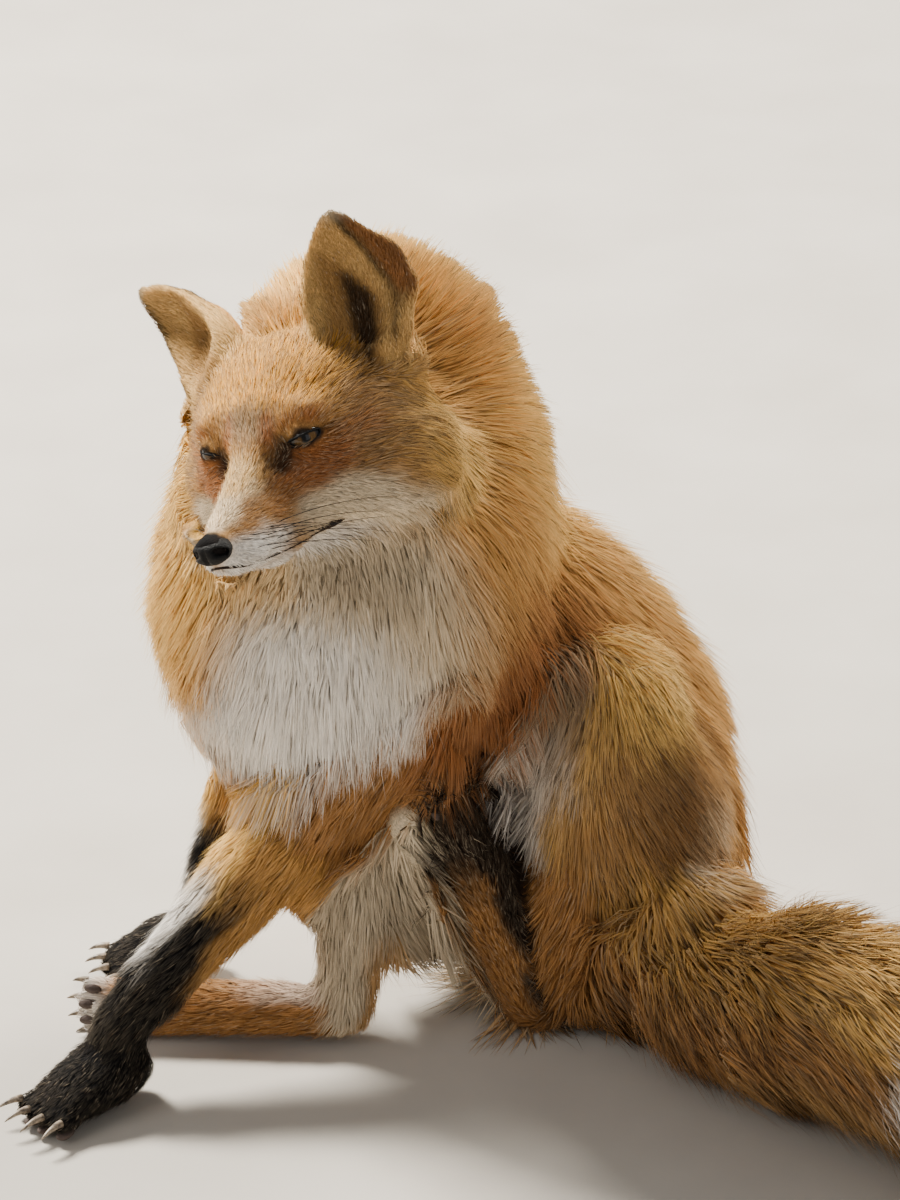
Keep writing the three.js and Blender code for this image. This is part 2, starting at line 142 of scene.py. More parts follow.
# Pieces of the coat: name, nodes, number of locks, and a slot name.
FORELEGS = (
    "upper_foreleg_left",
    "upper_foreleg_right",
    "lower_foreleg_left",
    "lower_foreleg_right",
    "forepaw_left",
    "forepaw_right",
)
HIND_LEGS = ("shank_left", "shank_right", "hind_foot_left", "hind_foot_right")
PIECES = [
    ("coat_face", ("head",), 31000, "coat_rufous"),
    ("coat_cheeks", ("head",), 24000, "coat_rufous"),
    ("coat_ears", ("ear_left", "ear_right"), 14000, "coat_rufous"),
    ("coat_neck", ("neck",), 32500, "coat_rufous"),
    ("coat_chest", ("chest",), 32500, "coat_cream"),
    ("coat_back", ("loin", "rump"), 23000, "coat_rufous"),
    ("coat_thighs", ("thigh_left", "thigh_right"), 27000, "coat_rufous"),
    ("coat_forelegs", FORELEGS, 24000, "coat_black"),
    ("coat_hind_legs", HIND_LEGS, 16000, "coat_tawny"),
    ("coat_tail", ("tail_base", "tail_middle", "tail_tip"), 27000, "coat_tawny"),
]

# The edge between the left thigh's inner and outer side: a place and its slope.
THIGH_EDGE_X, THIGH_EDGE_Z, THIGH_EDGE_SLOPE = -38, 104, 0.29

FLOOR_CLEARANCE = 0.3  # of claws and pads
HAIR_CLEARANCE = 0.5  # of the locks' middle lines

# -------------------------------------------------------------- head landmarks
# Head frame: origin midway between the eyes, x to the fox's right, y to the
# nose, z to the crown, in millimetres.

EYE_FORWARD = 2.0
NOSE_REACH, NOSE_DROP = 71.5, 28.3  # from the eyes' middle to the nose pad's
EYE_RADIUS = 9.5
EYE_SPACING = 48.0
GAZE = (0.56, 0.80, 0.20)  # x is for the right eye
CORNERS = (0.73, -0.68, 0.10)  # from the inner corner to the outer one
SLIT_HALF_WIDTH = 0.95  # of the lids' opening, seen from the eyeball, in radians
SLITS = {-1: (0.17, 0.33), 1: (0.07, 0.15)}  # its upper and lower half heights, left and right
FLATNESS = (3.2, 2.0)  # of the upper and the lower lid's edge
RIM = 0.5  # thickness of the dark lid rims

NOSE_TIP = np.array([0, 82, -29.0])
LIP_LINE = [
    (1, 79, -41),
    (7, 76, -43),
    (12, 66, -46),
    (15, 50, -48.5),
    (18, 33, -49.5),
    (20, 18, -49),
    (21, 8, -48),
    (25, 2, -45.5),
    (30, -3, -43),
]

EARS = {
    "ear_left": ((-41, -48, 30), (-0.11, 0.1, 0.98), (-0.25, 0.95, -0.1)),
    "ear_right": ((44, -50, 28), (0.71, -0.34, 0.61), (0.27, 0.94, 0.21)),
}
EAR_LENGTH = 70.0


# --------------------------------------------------------------------- palette


def linear(red, green, blue):
    """The linear colour of an ordinary 0 to 255 one."""
    shares = (value / 255 for value in (red, green, blue))
    return tuple(s / 12.92 if s <= 0.04045 else ((s + 0.055) / 1.055) ** 2.4 for s in shares)


def colour_property(name, description, *value):
    return bpy.props.FloatVectorProperty(
        name=name,
        description=description,
        default=linear(*value),
        min=0,
        max=1,
        size=3,
        subtype="COLOR",
    )


class FoxColours(bpy.types.PropertyGroup):
    """The colours of the coat and of the bare parts."""

    # Gold is partly painted light, on the lit tops and sides of the nape, ruff, back, thighs, tail
    # and forelegs.
    gold: colour_property("Gold", "Lit sides of the ruff and nape", 236, 190, 106)
    rufous: colour_property("Rufous", "Flanks, neck and shoulders", 214, 161, 92)
    # Rust also paints shade on the flank between the chest and the thigh.
    rust: colour_property("Rust", "Round the eyes", 158, 98, 56)
    # Cream also paints highlights along the bridge and the ridge of the nose.
    cream: colour_property("Cream", "Cheeks and edges of the bib", 232, 214, 184)
    white: colour_property("White", "Bib, lips and tip of the brush", 240, 234, 226)
    # Smoke also paints shade on the belly, the right hind leg and the inside of the left thigh.
    smoke: colour_property("Smoke", "Grey of the throat and brow", 140, 124, 104)
    buff: colour_property("Buff", "Forehead and bridge of the nose", 216, 176, 112)
    tawny: colour_property("Tawny", "Brush and hind feet", 166, 118, 68)
    # Umber also paints shade: in the ears' hollows and folds, and on the flank between the chest
    # and the thigh.
    umber: colour_property("Umber", "Dark tips and hollows of the ears", 62, 44, 32)
    soot: colour_property("Soot", "Legs, backs of the ears and lids", 24, 23, 24)
    honey: colour_property("Honey", "Crown and forehead", 224, 162, 62)
    sand: colour_property("Sand", "Grizzled sides of the face", 170, 126, 74)
    iris: colour_property("Iris", "Amber of the eyes", 84, 60, 28)


class FoxCoat(bpy.types.PropertyGroup):
    """How the skin and the coat over it are made."""

    voxel: bpy.props.FloatProperty(
        name="Skin grain",
        description="Size of the skin's first facets",
        default=2.2 * MM,
        min=1.5 * MM,
        unit="LENGTH",
    )
    skin_faces: bpy.props.IntProperty(
        name="Skin triangles",
        description="Triangles left on the skin",
        default=180000,
        max=195000,
    )
    crease: bpy.props.FloatProperty(
        name="Crease filling",
        description="Creases of the trunk narrower than about twice this are filled",
        default=14 * MM,
        min=1 * MM,
        unit="LENGTH",
    )
    share: bpy.props.FloatProperty(
        name="Locks",
        description="Share of the locks that are made",
        default=1.0,
        min=0.01,
        max=1.0,
        subtype="FACTOR",
    )
    clumping: bpy.props.FloatProperty(
        name="Clumping",
        description="How far the tips of neighbouring locks draw together",
        default=0.6,
        min=0.0,
        max=1.0,
        subtype="FACTOR",
    )


class FoxStage(bpy.types.PropertyGroup):
    """The camera and the floor."""

    distance: bpy.props.FloatProperty(
        name="Camera distance",
        description="From the camera to the point it looks at",
        default=3.2,
        unit="LENGTH",
    )
    elevation: bpy.props.FloatProperty(
        name="Camera elevation",
        description="Height of the camera above the horizon",
        default=math.radians(27),
        subtype="ANGLE",
    )
    lens: bpy.props.FloatProperty(
        name="Lens",
        description="Focal length in millimetres on a 36 mm frame",
        default=187.2,
    )


# --------------------------------------------------------------------- helpers


def unit(rows):
    rows = np.asarray(rows, float)
    return rows / np.maximum(np.linalg.norm(rows, axis=-1, keepdims=True), 1e-9)


def smooth(value, low, high):
    share = np.clip((value - low) / (high - low), 0, 1)
    return share * share * (3 - 2 * share)


def mixed(first, second, share):
    share = np.asarray(share)[..., None]
    return first * (1 - share) + second * share


def middle(node):
    low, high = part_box(node)
    return np.array((low + high) / 2) / MM


def belongs(owner, nodes):
    """Which places are on any of the nodes."""
    return np.isin(owner, [NUMBER[node_name] for node_name in nodes])


def on_right(local):
    """The same places of the head, all brought to its right side."""
    return np.abs(local) * [1, 0, 0] + local * [0, 1, 1]


def thigh_edge(height):
    """x of the edge between the left thigh's inner and outer side, at a height."""
    return THIGH_EDGE_X + (height - THIGH_EDGE_Z) * THIGH_EDGE_SLOPE


def head_axes():
    """The head's origin and its x, y and z directions, from the eyes and nose."""
    left, right, nose = middle("eye_left"), middle("eye_right"), middle("nose")
    eyes = (left + right) / 2
    across = unit(right - left)
    to_nose = nose - eyes
    ahead = unit(to_nose - across * (to_nose @ across))
    over = np.cross(across, ahead)
    drop = math.atan2(NOSE_DROP, NOSE_REACH)
    forward = ahead * math.cos(drop) + over * math.sin(drop)
    up = np.cross(across, forward)
    return eyes - forward * EYE_FORWARD, np.stack([across, forward, up])


HEAD_PLACE, HEAD_AXES = head_axes()


def to_head(places):
    return (places - HEAD_PLACE) @ HEAD_AXES.T


def from_head(places):
    return places @ HEAD_AXES + HEAD_PLACE


def ear_axes(ear):
    place, tip, opens = EARS[ear]
    along = unit(tip)
    across = unit(np.cross(opens, along))
    return np.array(place, float), np.stack([across, np.cross(along, across), along])


def deselect():
    if bpy.context.object and bpy.context.object.mode != "OBJECT":
        bpy.ops.object.mode_set(mode="OBJECT")
    bpy.ops.object.select_all(action="DESELECT")


def pick(piece):
    deselect()
    piece.select_set(True)
    bpy.context.view_layer.objects.active = piece


def all_faces(call, **options):
    """Runs one edit-mode operator on the whole of the active mesh."""
    bpy.ops.object.mode_set(mode="EDIT")
    bpy.ops.mesh.select_all(action="SELECT")
    call(**options)
    bpy.ops.object.mode_set(mode="OBJECT")


def apply_modifier(piece, kind, **settings):
    modifier = piece.modifiers.new(kind.title(), kind)
    for name, value in settings.items():
        setattr(modifier, name, value)
    bpy.ops.object.modifier_apply(modifier=modifier.name)


def numbers(items, name, kind=np.float32, width=1):
    found = np.empty(len(items) * width, kind)
    items.foreach_get(name, found)
    return found.reshape(-1, width) if width > 1 else found


def places_of(mesh):
    return numbers(mesh.vertices, "co", width=3).astype(float) / MM


def place_all(mesh, places):
    mesh.vertices.foreach_set("co", (places * MM).astype(np.float32).ravel())
    mesh.update()


def triangles_of(mesh):
    mesh.calc_loop_triangles()
    return numbers(mesh.loop_triangles, "vertices", np.int32, 3)


def normals_of(places, triangles):
    corners = places[triangles]
    flat = np.cross(corners[:, 1] - corners[:, 0], corners[:, 2] - corners[:, 0])
    normals = np.zeros_like(places)
    for axis in range(3):
        for corner in range(3):
            normals[:, axis] += np.bincount(triangles[:, corner], flat[:, axis], len(places))
    return unit(normals)


class Net:
    """The edges of a mesh, for evening out values between neighbours."""

    def __init__(self, mesh):
        edges = numbers(mesh.edges, "vertices", np.int32, 2)
        self.first, self.second = edges.T
        self.size = len(mesh.vertices)
        count = np.bincount(self.first, minlength=self.size)
        self.count = np.maximum(count + np.bincount(self.second, minlength=self.size), 1)

    def mean(self, values):
        total = np.bincount(self.first, values[self.second], self.size)
        return (total + np.bincount(self.second, values[self.first], self.size)) / self.count

    def evened(self, values, rounds, share=0.5):
        if values.ndim == 2:
            return np.stack([self.evened(v, rounds, share) for v in values.T], 1)
        for _ in range(rounds):
            values = values + (self.mean(values) - values) * share
        return values


def tree_of(places, triangles):
    return BVHTree.FromPolygons(places.tolist(), triangles.tolist())


def shade_smooth(mesh):
    mesh.polygons.foreach_set("use_smooth", np.ones(len(mesh.polygons), bool))


def finish_piece(piece, material):
    piece.data.materials.clear()
    piece.data.materials.append(material)
    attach(piece, "root")
    return piece


# ------------------------------------------------------------------- materials


def node(tree, kind, **settings):
    made = tree.nodes.new(kind)
    for name, value in settings.items():
        if name in made.inputs:
            made.inputs[name].default_value = value
        else:
            setattr(made, name, value)
    return made


def blank_material(name, roughness, specular):
    """A material with one Principled shader and its Object coordinates."""
    material = bpy.data.materials.new(name)
    material.use_nodes = True
    tree = material.node_tree
    shader = tree.nodes["Principled BSDF"]
    shader.inputs["Roughness"].default_value = roughness
    shader.inputs["Specular IOR Level"].default_value = specular
    place = node(tree, "ShaderNodeTexCoord").outputs["Object"]
    return material, tree, shader, place


def scaled_noise(tree, place, scale, detail=3.0):
    noise = node(tree, "ShaderNodeTexNoise", Scale=scale, Detail=detail)
    tree.links.new(place, noise.inputs["Vector"])
    return noise.outputs["Fac"]


def ramp(tree, value, stops):
    found = node(tree, "ShaderNodeValToRGB")
    elements = found.color_ramp.elements
    while len(elements) < len(stops):
        elements.new(0.5)
    for element, (position, colour) in zip(elements, stops):
        element.position = position
        element.color = (*colour, 1)
    tree.links.new(value, found.inputs["Fac"])
    return found.outputs["Color"]


def bumped(tree, shader, height, strength, distance):
    bump = node(tree, "ShaderNodeBump", Strength=strength, Distance=distance)
    tree.links.new(height, bump.inputs["Height"])
    tree.links.new(bump.outputs["Normal"], shader.inputs["Normal"])


def tinted(tree, shader, place, scale, spread):
    """The piece's own tint, a little lighter and darker from spot to spot."""
    tint = node(tree, "ShaderNodeAttribute", attribute_name="tint")
    low, high = 1 - spread, 1 + spread
    shade = ramp(tree, scaled_noise(tree, place, scale), [(0.3, (low,) * 3), (0.7, (high,) * 3)])
    mix = node(tree, "ShaderNodeMix", data_type="RGBA", blend_type="MULTIPLY")
    mix.inputs["Factor"].default_value = 1.0
    tree.links.new(tint.outputs["Color"], mix.inputs[6])
    tree.links.new(shade, mix.inputs[7])
    tree.links.new(mix.outputs[2], shader.inputs["Base Color"])


def hair_material():
    """Fine streaks along each lock, by its own map, over its tint."""
    material, tree, shader, _ = blank_material("fox hair", 0.65, 0.05)
    strand = node(tree, "ShaderNodeUVMap", uv_map="strand")
    tinted(tree, shader, strand.outputs["UV"], 1.0, 0.28)
    return material


def skin_material():
    material, tree, shader, place = blank_material("fox short fur", 0.8, 0.05)
    tinted(tree, shader, place, 900.0, 0.3)
    bumped(tree, shader, scaled_noise(tree, place, 1400.0, 2.0), 0.6, 0.0006)
    return material


def leather_material(name, colour, roughness, grain):
    """Bare dark skin: nose, pads, lids and lips."""
    material, tree, shader, place = blank_material(name, roughness, 0.2)
    cells = node(tree, "ShaderNodeTexVoronoi", Scale=grain)
    tree.links.new(place, cells.inputs["Vector"])
    lighter = tuple(min(1, c * 1.8 + 0.004) for c in colour)
    tone = ramp(tree, scaled_noise(tree, place, grain * 0.2), [(0.35, colour), (0.75, lighter)])
    tree.links.new(tone, shader.inputs["Base Color"])
    bumped(tree, shader, cells.outputs["Distance"], 0.5, 0.0004)
    return material


def horn_material(pale, dark):
    material, tree, shader, place = blank_material("claw horn", 0.35, 0.5)
    wave = scaled_noise(tree, place, 420.0)
    tone = ramp(tree, wave, [(0.3, dark), (0.7, pale)])
    tree.links.new(tone, shader.inputs["Base Color"])
    bumped(tree, shader, wave, 0.3, 0.0002)
    return material


def eye_material():
    """Iris, pupil, dark rim and the painted shadow of the upper lid by the tint attribute, under a
    clear wet coat.
    """
    material, tree, shader, place = blank_material("wet eye", 0.35, 0.1)
    shader.inputs["Coat Weight"].default_value = 0.6
    shader.inputs["Coat Roughness"].default_value = 0.03
    tinted(tree, shader, place, 1500.0, 0.25)
    return material


def floor_material():
    material, tree, shader, place = blank_material("studio floor", 0.85, 0.2)
    sand = linear(198, 191, 181)
    paler = linear(208, 202, 192)
    tone = ramp(tree, scaled_noise(tree, place, 9.0, 4.0), [(0.3, sand), (0.7, paler)])
    tree.links.new(tone, shader.inputs["Base Color"])
    bumped(tree, shader, scaled_noise(tree, place, 160.0), 0.1, 0.001)
    return material


# -------------------------------------------------------------------- markings


def palette():
    colours = bpy.context.scene.fox_colours
    return {name: np.array(getattr(colours, name)) for name in FoxColours.__annotations__}


# The colour that each part starts from, before its markings.
GROUND = {
    "head": "sand",
    "ear_left": "buff",
    "ear_right": "buff",
    "neck": "rufous",
    "chest": "rufous",
    "loin": "rufous",
    "rump": "rufous",
    "thigh_left": "sand",
    "thigh_right": "cream",
    "shank_left": "tawny",
    "shank_right": "cream",
    "hind_foot_left": "tawny",
    "hind_foot_right": "tawny",
    # The left upper foreleg is tawny, darker than the right one's rufous: partly painted shade.
    "upper_foreleg_left": "tawny",
    "upper_foreleg_right": "rufous",
    "lower_foreleg_left": "soot",
    "lower_foreleg_right": "soot",
    "forepaw_left": "soot",
    "forepaw_right": "soot",
    "tail_base": "tawny",
    "tail_middle": "tawny",
    "tail_tip": "white",
    "nose": "soot",
    "eye_left": "soot",
    "eye_right": "soot",
}

# Patches of the head, alike on both sides: centre and half sizes in the head
# frame, colour, strength.
HEAD_PATCHES = [
    ("crown", (0, -34, 40), (70, 56, 36), "honey", 0.7),
    ("forehead", (0, -10, 28), (44, 32, 20), "honey", 0.75),
    ("back of the cheek", (62, -60, -24), (34, 44, 40), "gold", 0.8),
    ("brow", (0, 8, 12), (17, 14, 12), "smoke", 0.5),
    ("middle of the brow", (6, 6, 12), (9, 10, 9), "umber", 0.35),
    ("bridge", (0, 40, -10), (12, 40, 13), "buff", 0.95),
    # Partly painted highlight: cream along the edges of the bridge.
    ("edge of the bridge", (9, 50, -14), (5, 22, 8), "cream", 0.35),
    ("inner eye streak", (11, 12, 7), (4, 13, 10), "rust", 0.7),
    ("inner corner", (17, 16, -5), (7, 9, 8), "umber", 0.6),
    ("over the eye", (30, 4, 9), (18, 8, 4), "rust", 0.7),
    ("under the eye", (32, 10, -11), (22, 20, 13), "rust", 0.9),
    ("side of the muzzle", (20, 26, -19), (11, 17, 10), "rust", 0.6),
    ("grizzled muzzle", (14, 46, -20), (7, 26, 8), "tawny", 0.75),
    # Partly painted highlight: cream along the ridge of the nose.
    ("ridge of the nose", (2, 58, -18), (7, 26, 8), "cream", 0.6),
    ("behind the eye", (46, -8, 0), (16, 16, 6), "rust", 0.5),
    ("shadow of the ear", (42, -30, 22), (16, 16, 12), "umber", 0.35),
    ("lip", (14, 60, -40), (18, 32, 13), "white", 1.0),
    ("cheek streak", (38, 4, -34), (26, 34, 13), "cream", 0.9),
    ("lower cheek", (40, -16, -50), (34, 50, 18), "cream", 0.95),
    ("jaw", (0, 20, -62), (40, 80, 16), "white", 0.9),
]

# Patches of the body: nodes, centre and half sizes in the frame, colour, strength.
BODY_PATCHES = [
    ("neck chest", (-128, -100, 262), (72, 62, 56), "cream", 0.95),
    ("chest", (-148, -100, 212), (70, 58, 52), "white", 0.95),
    ("chest", (-168, -88, 180), (50, 58, 36), "white", 0.95),
    ("neck chest", (-122, -100, 284), (44, 34, 16), "smoke", 0.4),
    # Partly painted light: gold on the nape and on the left side of the ruff.
    ("neck", (-130, 40, 400), (90, 60, 60), "gold", 0.8),
    ("neck chest", (-215, -20, 280), (50, 90, 90), "gold", 0.7),
    # Partly painted shade: buff under the chin, over the pale bib.
    ("neck chest", (-184, -95, 280), (28, 34, 24), "buff", 0.6),
    ("chest", (-208, -66, 172), (36, 50, 28), "white", 0.85),
    # Partly painted light: gold on the nape behind the head.
    ("neck", (-20, 30, 330), (60, 90, 80), "gold", 0.8),
    # Painted shade on the flank between the chest and the thigh: rust and umber.
    ("chest loin neck", (-34, -50, 216), (46, 58, 52), "rust", 0.8),
    ("chest loin neck upper_foreleg_left", (-52, -62, 172), (46, 50, 40), "umber", 0.7),
    ("loin", (-60, -45, 70), (60, 60, 70), "cream", 0.95),
    # Painted shade on the belly and the right hind leg: smoke over their pale fur.
    ("loin", (-60, -55, 96), (50, 50, 30), "smoke", 0.45),
    ("thigh_right shank_right loin", (-100, -60, 60), (90, 90, 60), "smoke", 0.4),
    ("rump", (-60, -35, 30), (50, 50, 50), "cream", 0.9),
    # Partly painted light: gold along the top of the back.
    ("loin", (0, 70, 190), (90, 60, 80), "gold", 0.6),
    # Partly painted light: gold on the top of the left thigh, where the light falls.
    ("thigh_left", (30, -60, 216), (44, 60, 34), "gold", 1.0),
    ("thigh_left loin", (24, -50, 224), (34, 50, 18), "gold", 0.6),
    ("thigh_left", (30, -95, 156), (26, 44, 38), "umber", 0.4),
    ("thigh_left", (64, -80, 176), (14, 44, 22), "umber", 0.12),
    ("thigh_left", (54, -80, 118), (18, 50, 34), "cream", 0.55),
    ("thigh_left", (22, -90, 96), (34, 50, 26), "gold", 0.35),
    # Painted shade on the flank behind the elbow.
    ("chest loin upper_foreleg_left", (-56, -66, 186), (54, 50, 52), "rust", 0.75),
    ("tail_base tail_middle", (110, -190, 20), (90, 60, 34), "buff", 0.35),
    ("tail_middle", (150, -190, 100), (60, 70, 40), "gold", 0.5),
    ("hind_foot_right", (-262, -92, 20), (18, 20, 14), "cream", 0.7),
]

# How much of each part is grizzled with dark tips.
GRIZZLE = {
    "head": 0.28,
    "neck": 0.06,
    "chest": 0.03,
    "loin": 0.12,
    "rump": 0.1,
    "thigh_left": 0.22,
    "upper_foreleg_left": 0.15,
    "tail_base": 0.4,
    "tail_middle": 0.42,
    "shank_left": 0.2,
    "hind_foot_left": 0.2,
    "hind_foot_right": 0.15,
}


def patch_share(places, centre, sizes):
    reach = np.linalg.norm((places - np.array(centre, float)) / np.array(sizes, float), axis=1)
    return 1 - smooth(reach, 0.6, 1.2)


def along_limb(places, start, end):
    """How far along a limb each place is, from 0 to 1, and its offset from the axis."""
    axis = AT[end] - AT[start]
    share = ((places - AT[start]) @ axis) / (axis @ axis)
    return share, places - AT[start] - share[:, None] * axis


def paint_head(colour, local, here, hues):
    mirrored = on_right(local)
    warped = mirrored + waves(local, 22, 8) * 2.5 + waves(local, 8, 9) * 1.2
    for _, centre, sizes, hue, strength in HEAD_PATCHES:
        share = patch_share(warped, centre, sizes) * strength * here
        colour = mixed(colour, hues[hue], share)
    for side in (-1, 1):
        _, _, rim = lid_distance(local, side)
        near = np.linalg.norm(local - eye_middle(side), axis=1) < 24
        colour = mixed(colour, hues["soot"], (1 - smooth(rim, 1.2, 2.6)) * near * here)
    tear = capsule(mirrored, (19, 12, 0), (16, 18, -9), 5.2)
    colour = mixed(colour, hues["soot"], tear * 0.8 * here)
    colour = mixed(colour, hues["umber"], lip_share(mirrored) * 0.85 * here)
    for spot in whisker_roots():
        dot = 1 - smooth(np.linalg.norm(mirrored - spot, axis=1), 0.7, 1.5)
        colour = mixed(colour, hues["umber"], dot * 0.8 * here)
    return colour


def lip_share(mirrored):
    """1 along the mouth's line, wider towards its corner."""
    share = np.zeros(len(mirrored))
    for index, (start, end) in enumerate(zip(LIP_LINE, LIP_LINE[1:])):
        radius = 1.8 if index < 5 else 4.0
        share = np.maximum(share, capsule(mirrored, start, end, radius))
    return share


def capsule(places, start, end, radius):
    """1 on the line between two places, falling to 0 at the radius."""
    start, end = np.array(start, float), np.array(end, float)
    axis = end - start
    share = np.clip(((places - start) @ axis) / (axis @ axis), 0, 1)
    return 1 - smooth(
        np.linalg.norm(places - start - share[:, None] * axis, axis=1), radius * 0.5, radius
    )


def paint_ears(colour, local, normals, owner, hues):
    for ear in EARS:
        here = (owner == NUMBER[ear]).astype(float)
        place, axes = ear_axes(ear)
        across, _, height = ((local - place) @ axes.T).T
        facing = normals @ HEAD_AXES.T @ axes[1]
        outward = across * (1 if ear == "ear_right" else -1)
        inside = here * smooth(facing, -0.05, 0.3)
        # The inside of each ear, darkened sand: partly the ear's own colour, partly painted shade.
        colour = mixed(colour, hues["sand"] * 0.8, inside * smooth(outward, -18, -10) * 0.8)
        # Painted shade in the hollow of each ear's cup: dark umber, strong in the left ear and
        # weak in the right.
        medial = -2.7 - 0.1 * (height - 4)
        lateral = 8.5 - 0.9 * np.maximum(height - 20, 0)
        hollow_shade = smooth(outward, medial - 3, medial + 2)
        hollow_shade = hollow_shade * (1 - smooth(outward, lateral - 2, lateral + 3))
        hollow_shade = hollow_shade * (1 - smooth(height, 30, 39))
        hollow_shade = hollow_shade * (0.95 if ear == "ear_left" else 0.25)
        colour = mixed(colour, hues["umber"] * 0.5, inside * hollow_shade)
        rear = smooth(outward, lateral + 2, lateral + 6)
        colour = mixed(colour, hues["buff"], inside * rear * 0.6)
        band = outward - 3.6 - (61.4 - height) * 0.42
        edge = smooth(height, 14, 24)
        colour = mixed(colour, hues["rust"] * 0.6, inside * smooth(band, 0, 3) * edge * 0.9)
        line = 1 - smooth(np.abs(band + 0.5), 1.0, 3.2)
        colour = mixed(colour, hues["soot"], inside * line * edge * 0.85)
        # Painted shade along the fold at the foot of each ear's outer edge.
        fold_shade = 1 - smooth(np.abs(outward - 20.3), 0.5, 2.5)
        fold_shade = fold_shade * smooth(height, 0, 4) * (1 - smooth(height, 16, 21))
        colour = mixed(colour, hues["umber"] * 0.7, inside * fold_shade * 0.8)
        behind = here * (1 - smooth(facing, -0.3, 0.05))
        colour = mixed(colour, hues["rufous"], behind)
        colour = mixed(colour, hues["soot"], behind * smooth(height, 16, 36) * 0.95)
        tip = here * smooth(height, EAR_LENGTH - 10, EAR_LENGTH - 1)
        colour = mixed(colour, hues["cream"], tip * 0.5)
    return colour


def paint_limbs(colour, places, owner, hues):
    # The side of the forelegs that is turned towards the light.
    edge = unit([-0.75, 0.3, 0.59])
    for side in ("left", "right"):
        here = (owner == NUMBER[f"lower_foreleg_{side}"]).astype(float)
        share, off = along_limb(places, f"elbow_{side}", f"wrist_{side}")
        front = off @ edge
        brown = 1 - smooth(share, 0.22, 0.5)
        colour = mixed(colour, hues["rufous"] * 0.8, here * brown)
        rear = (1 - smooth(share, 0.55, 0.85)) * smooth(-front, 6, 12)
        colour = mixed(colour, hues["rufous"] * 0.8, here * rear * 0.9)
        # Painted light: gold on the lit side of the lower foreleg's upper part.
        lit = smooth(front, 4, 12) * (1 - smooth(share, 0.32, 0.55))
        colour = mixed(colour, hues["gold"], here * lit * 0.8)
        streak = smooth(front, 10, 14) * smooth(share, 0.3, 0.5) * (1 - smooth(share, 0.7, 0.88))
        colour = mixed(colour, hues["white"], here * streak * 0.9)
        here = (owner == NUMBER[f"upper_foreleg_{side}"]).astype(float)
        share, off = along_limb(places, f"shoulder_{side}", f"elbow_{side}")
        # Painted light: gold on the lit side of the upper foreleg.
        colour = mixed(colour, hues["gold"], here * smooth(off @ edge, 6, 18) * 0.8)
    here = (owner == NUMBER["hind_foot_left"]).astype(float)
    share, off = along_limb(places, "hock_left", "hind_toes_left")
    back = off @ unit([0.8, -0.1, 0.45])
    dark = np.maximum(smooth(back, 1, 9), smooth(share, 0.5, 0.7))
    colour = mixed(colour, hues["soot"], here * dark * 0.95)
    here = (owner == NUMBER["hind_foot_right"]).astype(float)
    share, off = along_limb(places, "hock_right", "hind_toes_right")
    dark = smooth(off[:, 1], 0, 10)
    colour = mixed(colour, hues["soot"], here * dark * smooth(share, 0.3, 0.6) * 0.85)
    strip = smooth(off[:, 2], 11, 17) * (1 - smooth(share, 0.2, 0.5)) * 0.5
    strip = strip + smooth(share, 0.8, 0.92)
    colour = mixed(colour, hues["white"], here * np.clip(strip, 0, 1) * 0.75)
    here = (owner == NUMBER["shank_right"]).astype(float)
    share, off = along_limb(places, "knee_right", "hock_right")
    outer = smooth(off[:, 0], 6, 16)
    colour = mixed(colour, hues["rufous"], here * outer * smooth(share, 0.55, 0.85) * 0.8)
    return colour


def markings(places, normals, owner):
    """The colour of the coat and how grizzled it is, at places on its surface."""
    hues = palette()
    ground = np.array([hues[GROUND[node_name]] for node_name in NODES])
    colour = ground[owner]
    local = to_head(places)
    places = places + waves(places, 60, 6) * 7 + waves(places, 22, 7) * 4
    on_head = (owner == NUMBER["head"]).astype(float)
    for nodes, centre, sizes, hue, strength in BODY_PATCHES:
        here = belongs(owner, nodes.split())
        colour = mixed(colour, hues[hue], patch_share(places, centre, sizes) * strength * here)
    inner_edge = thigh_edge(places[:, 2])
    here = owner == NUMBER["thigh_left"]
    inner = here * (1 - smooth(places[:, 0] - inner_edge, -9, 3)) * smooth(places[:, 2], 20, 60)
    # The inside of the left thigh is white low down and smoke-grey higher up; the grey is painted
    # shade.
    low = smooth(170 - places[:, 2], -30, 30)
    pale = mixed(hues["smoke"] * np.ones_like(places), hues["white"], low)
    colour = mixed(colour, pale, inner * 0.8)
    crest = here * (1 - smooth(np.abs(places[:, 0] - inner_edge - 3), 2, 8))
    colour = mixed(colour, hues["gold"], crest * 0.45)
    colour = mixed(colour, hues["rufous"], here * smooth(places[:, 0], 58, 74) * 0.9)
    tail = belongs(owner, ("tail_base", "tail_middle"))
    mottled = smooth(waves(places, 30, 11)[:, 0], 0.1, 0.8)
    mottled = mottled * np.where(tail, 0.4, np.where(here, 0.12, 0.1))
    mottled = mottled * ~belongs(owner, ("head", "chest", "tail_tip"))
    colour = mixed(colour, hues["umber"], mottled)
    # Painted light: gold on the upward-facing top of the tail.
    colour = mixed(colour, hues["gold"], tail * smooth(normals[:, 2], 0.1, 0.8) * 0.5)
    colour = paint_limbs(colour, places, owner, hues)
    colour = paint_head(colour, local, on_head, hues)
    colour = paint_ears(colour, local, normals, owner, hues)
    amount = np.array([GRIZZLE.get(node_name, 0.05) for node_name in NODES])[owner]
    forehead = patch_share(local, (0, -14, 30), (50, 44, 30))
    bridge = patch_share(local, (0, 42, -10), (17, 38, 15))
    temples = patch_share(on_right(local), (48, -24, 0), (26, 40, 28))
    extra = 0.3 * forehead + 0.3 * bridge + 0.3 * temples
    return colour, np.clip(amount + extra * on_head, 0, 0.8)


# ------------------------------------------------------------------------ head


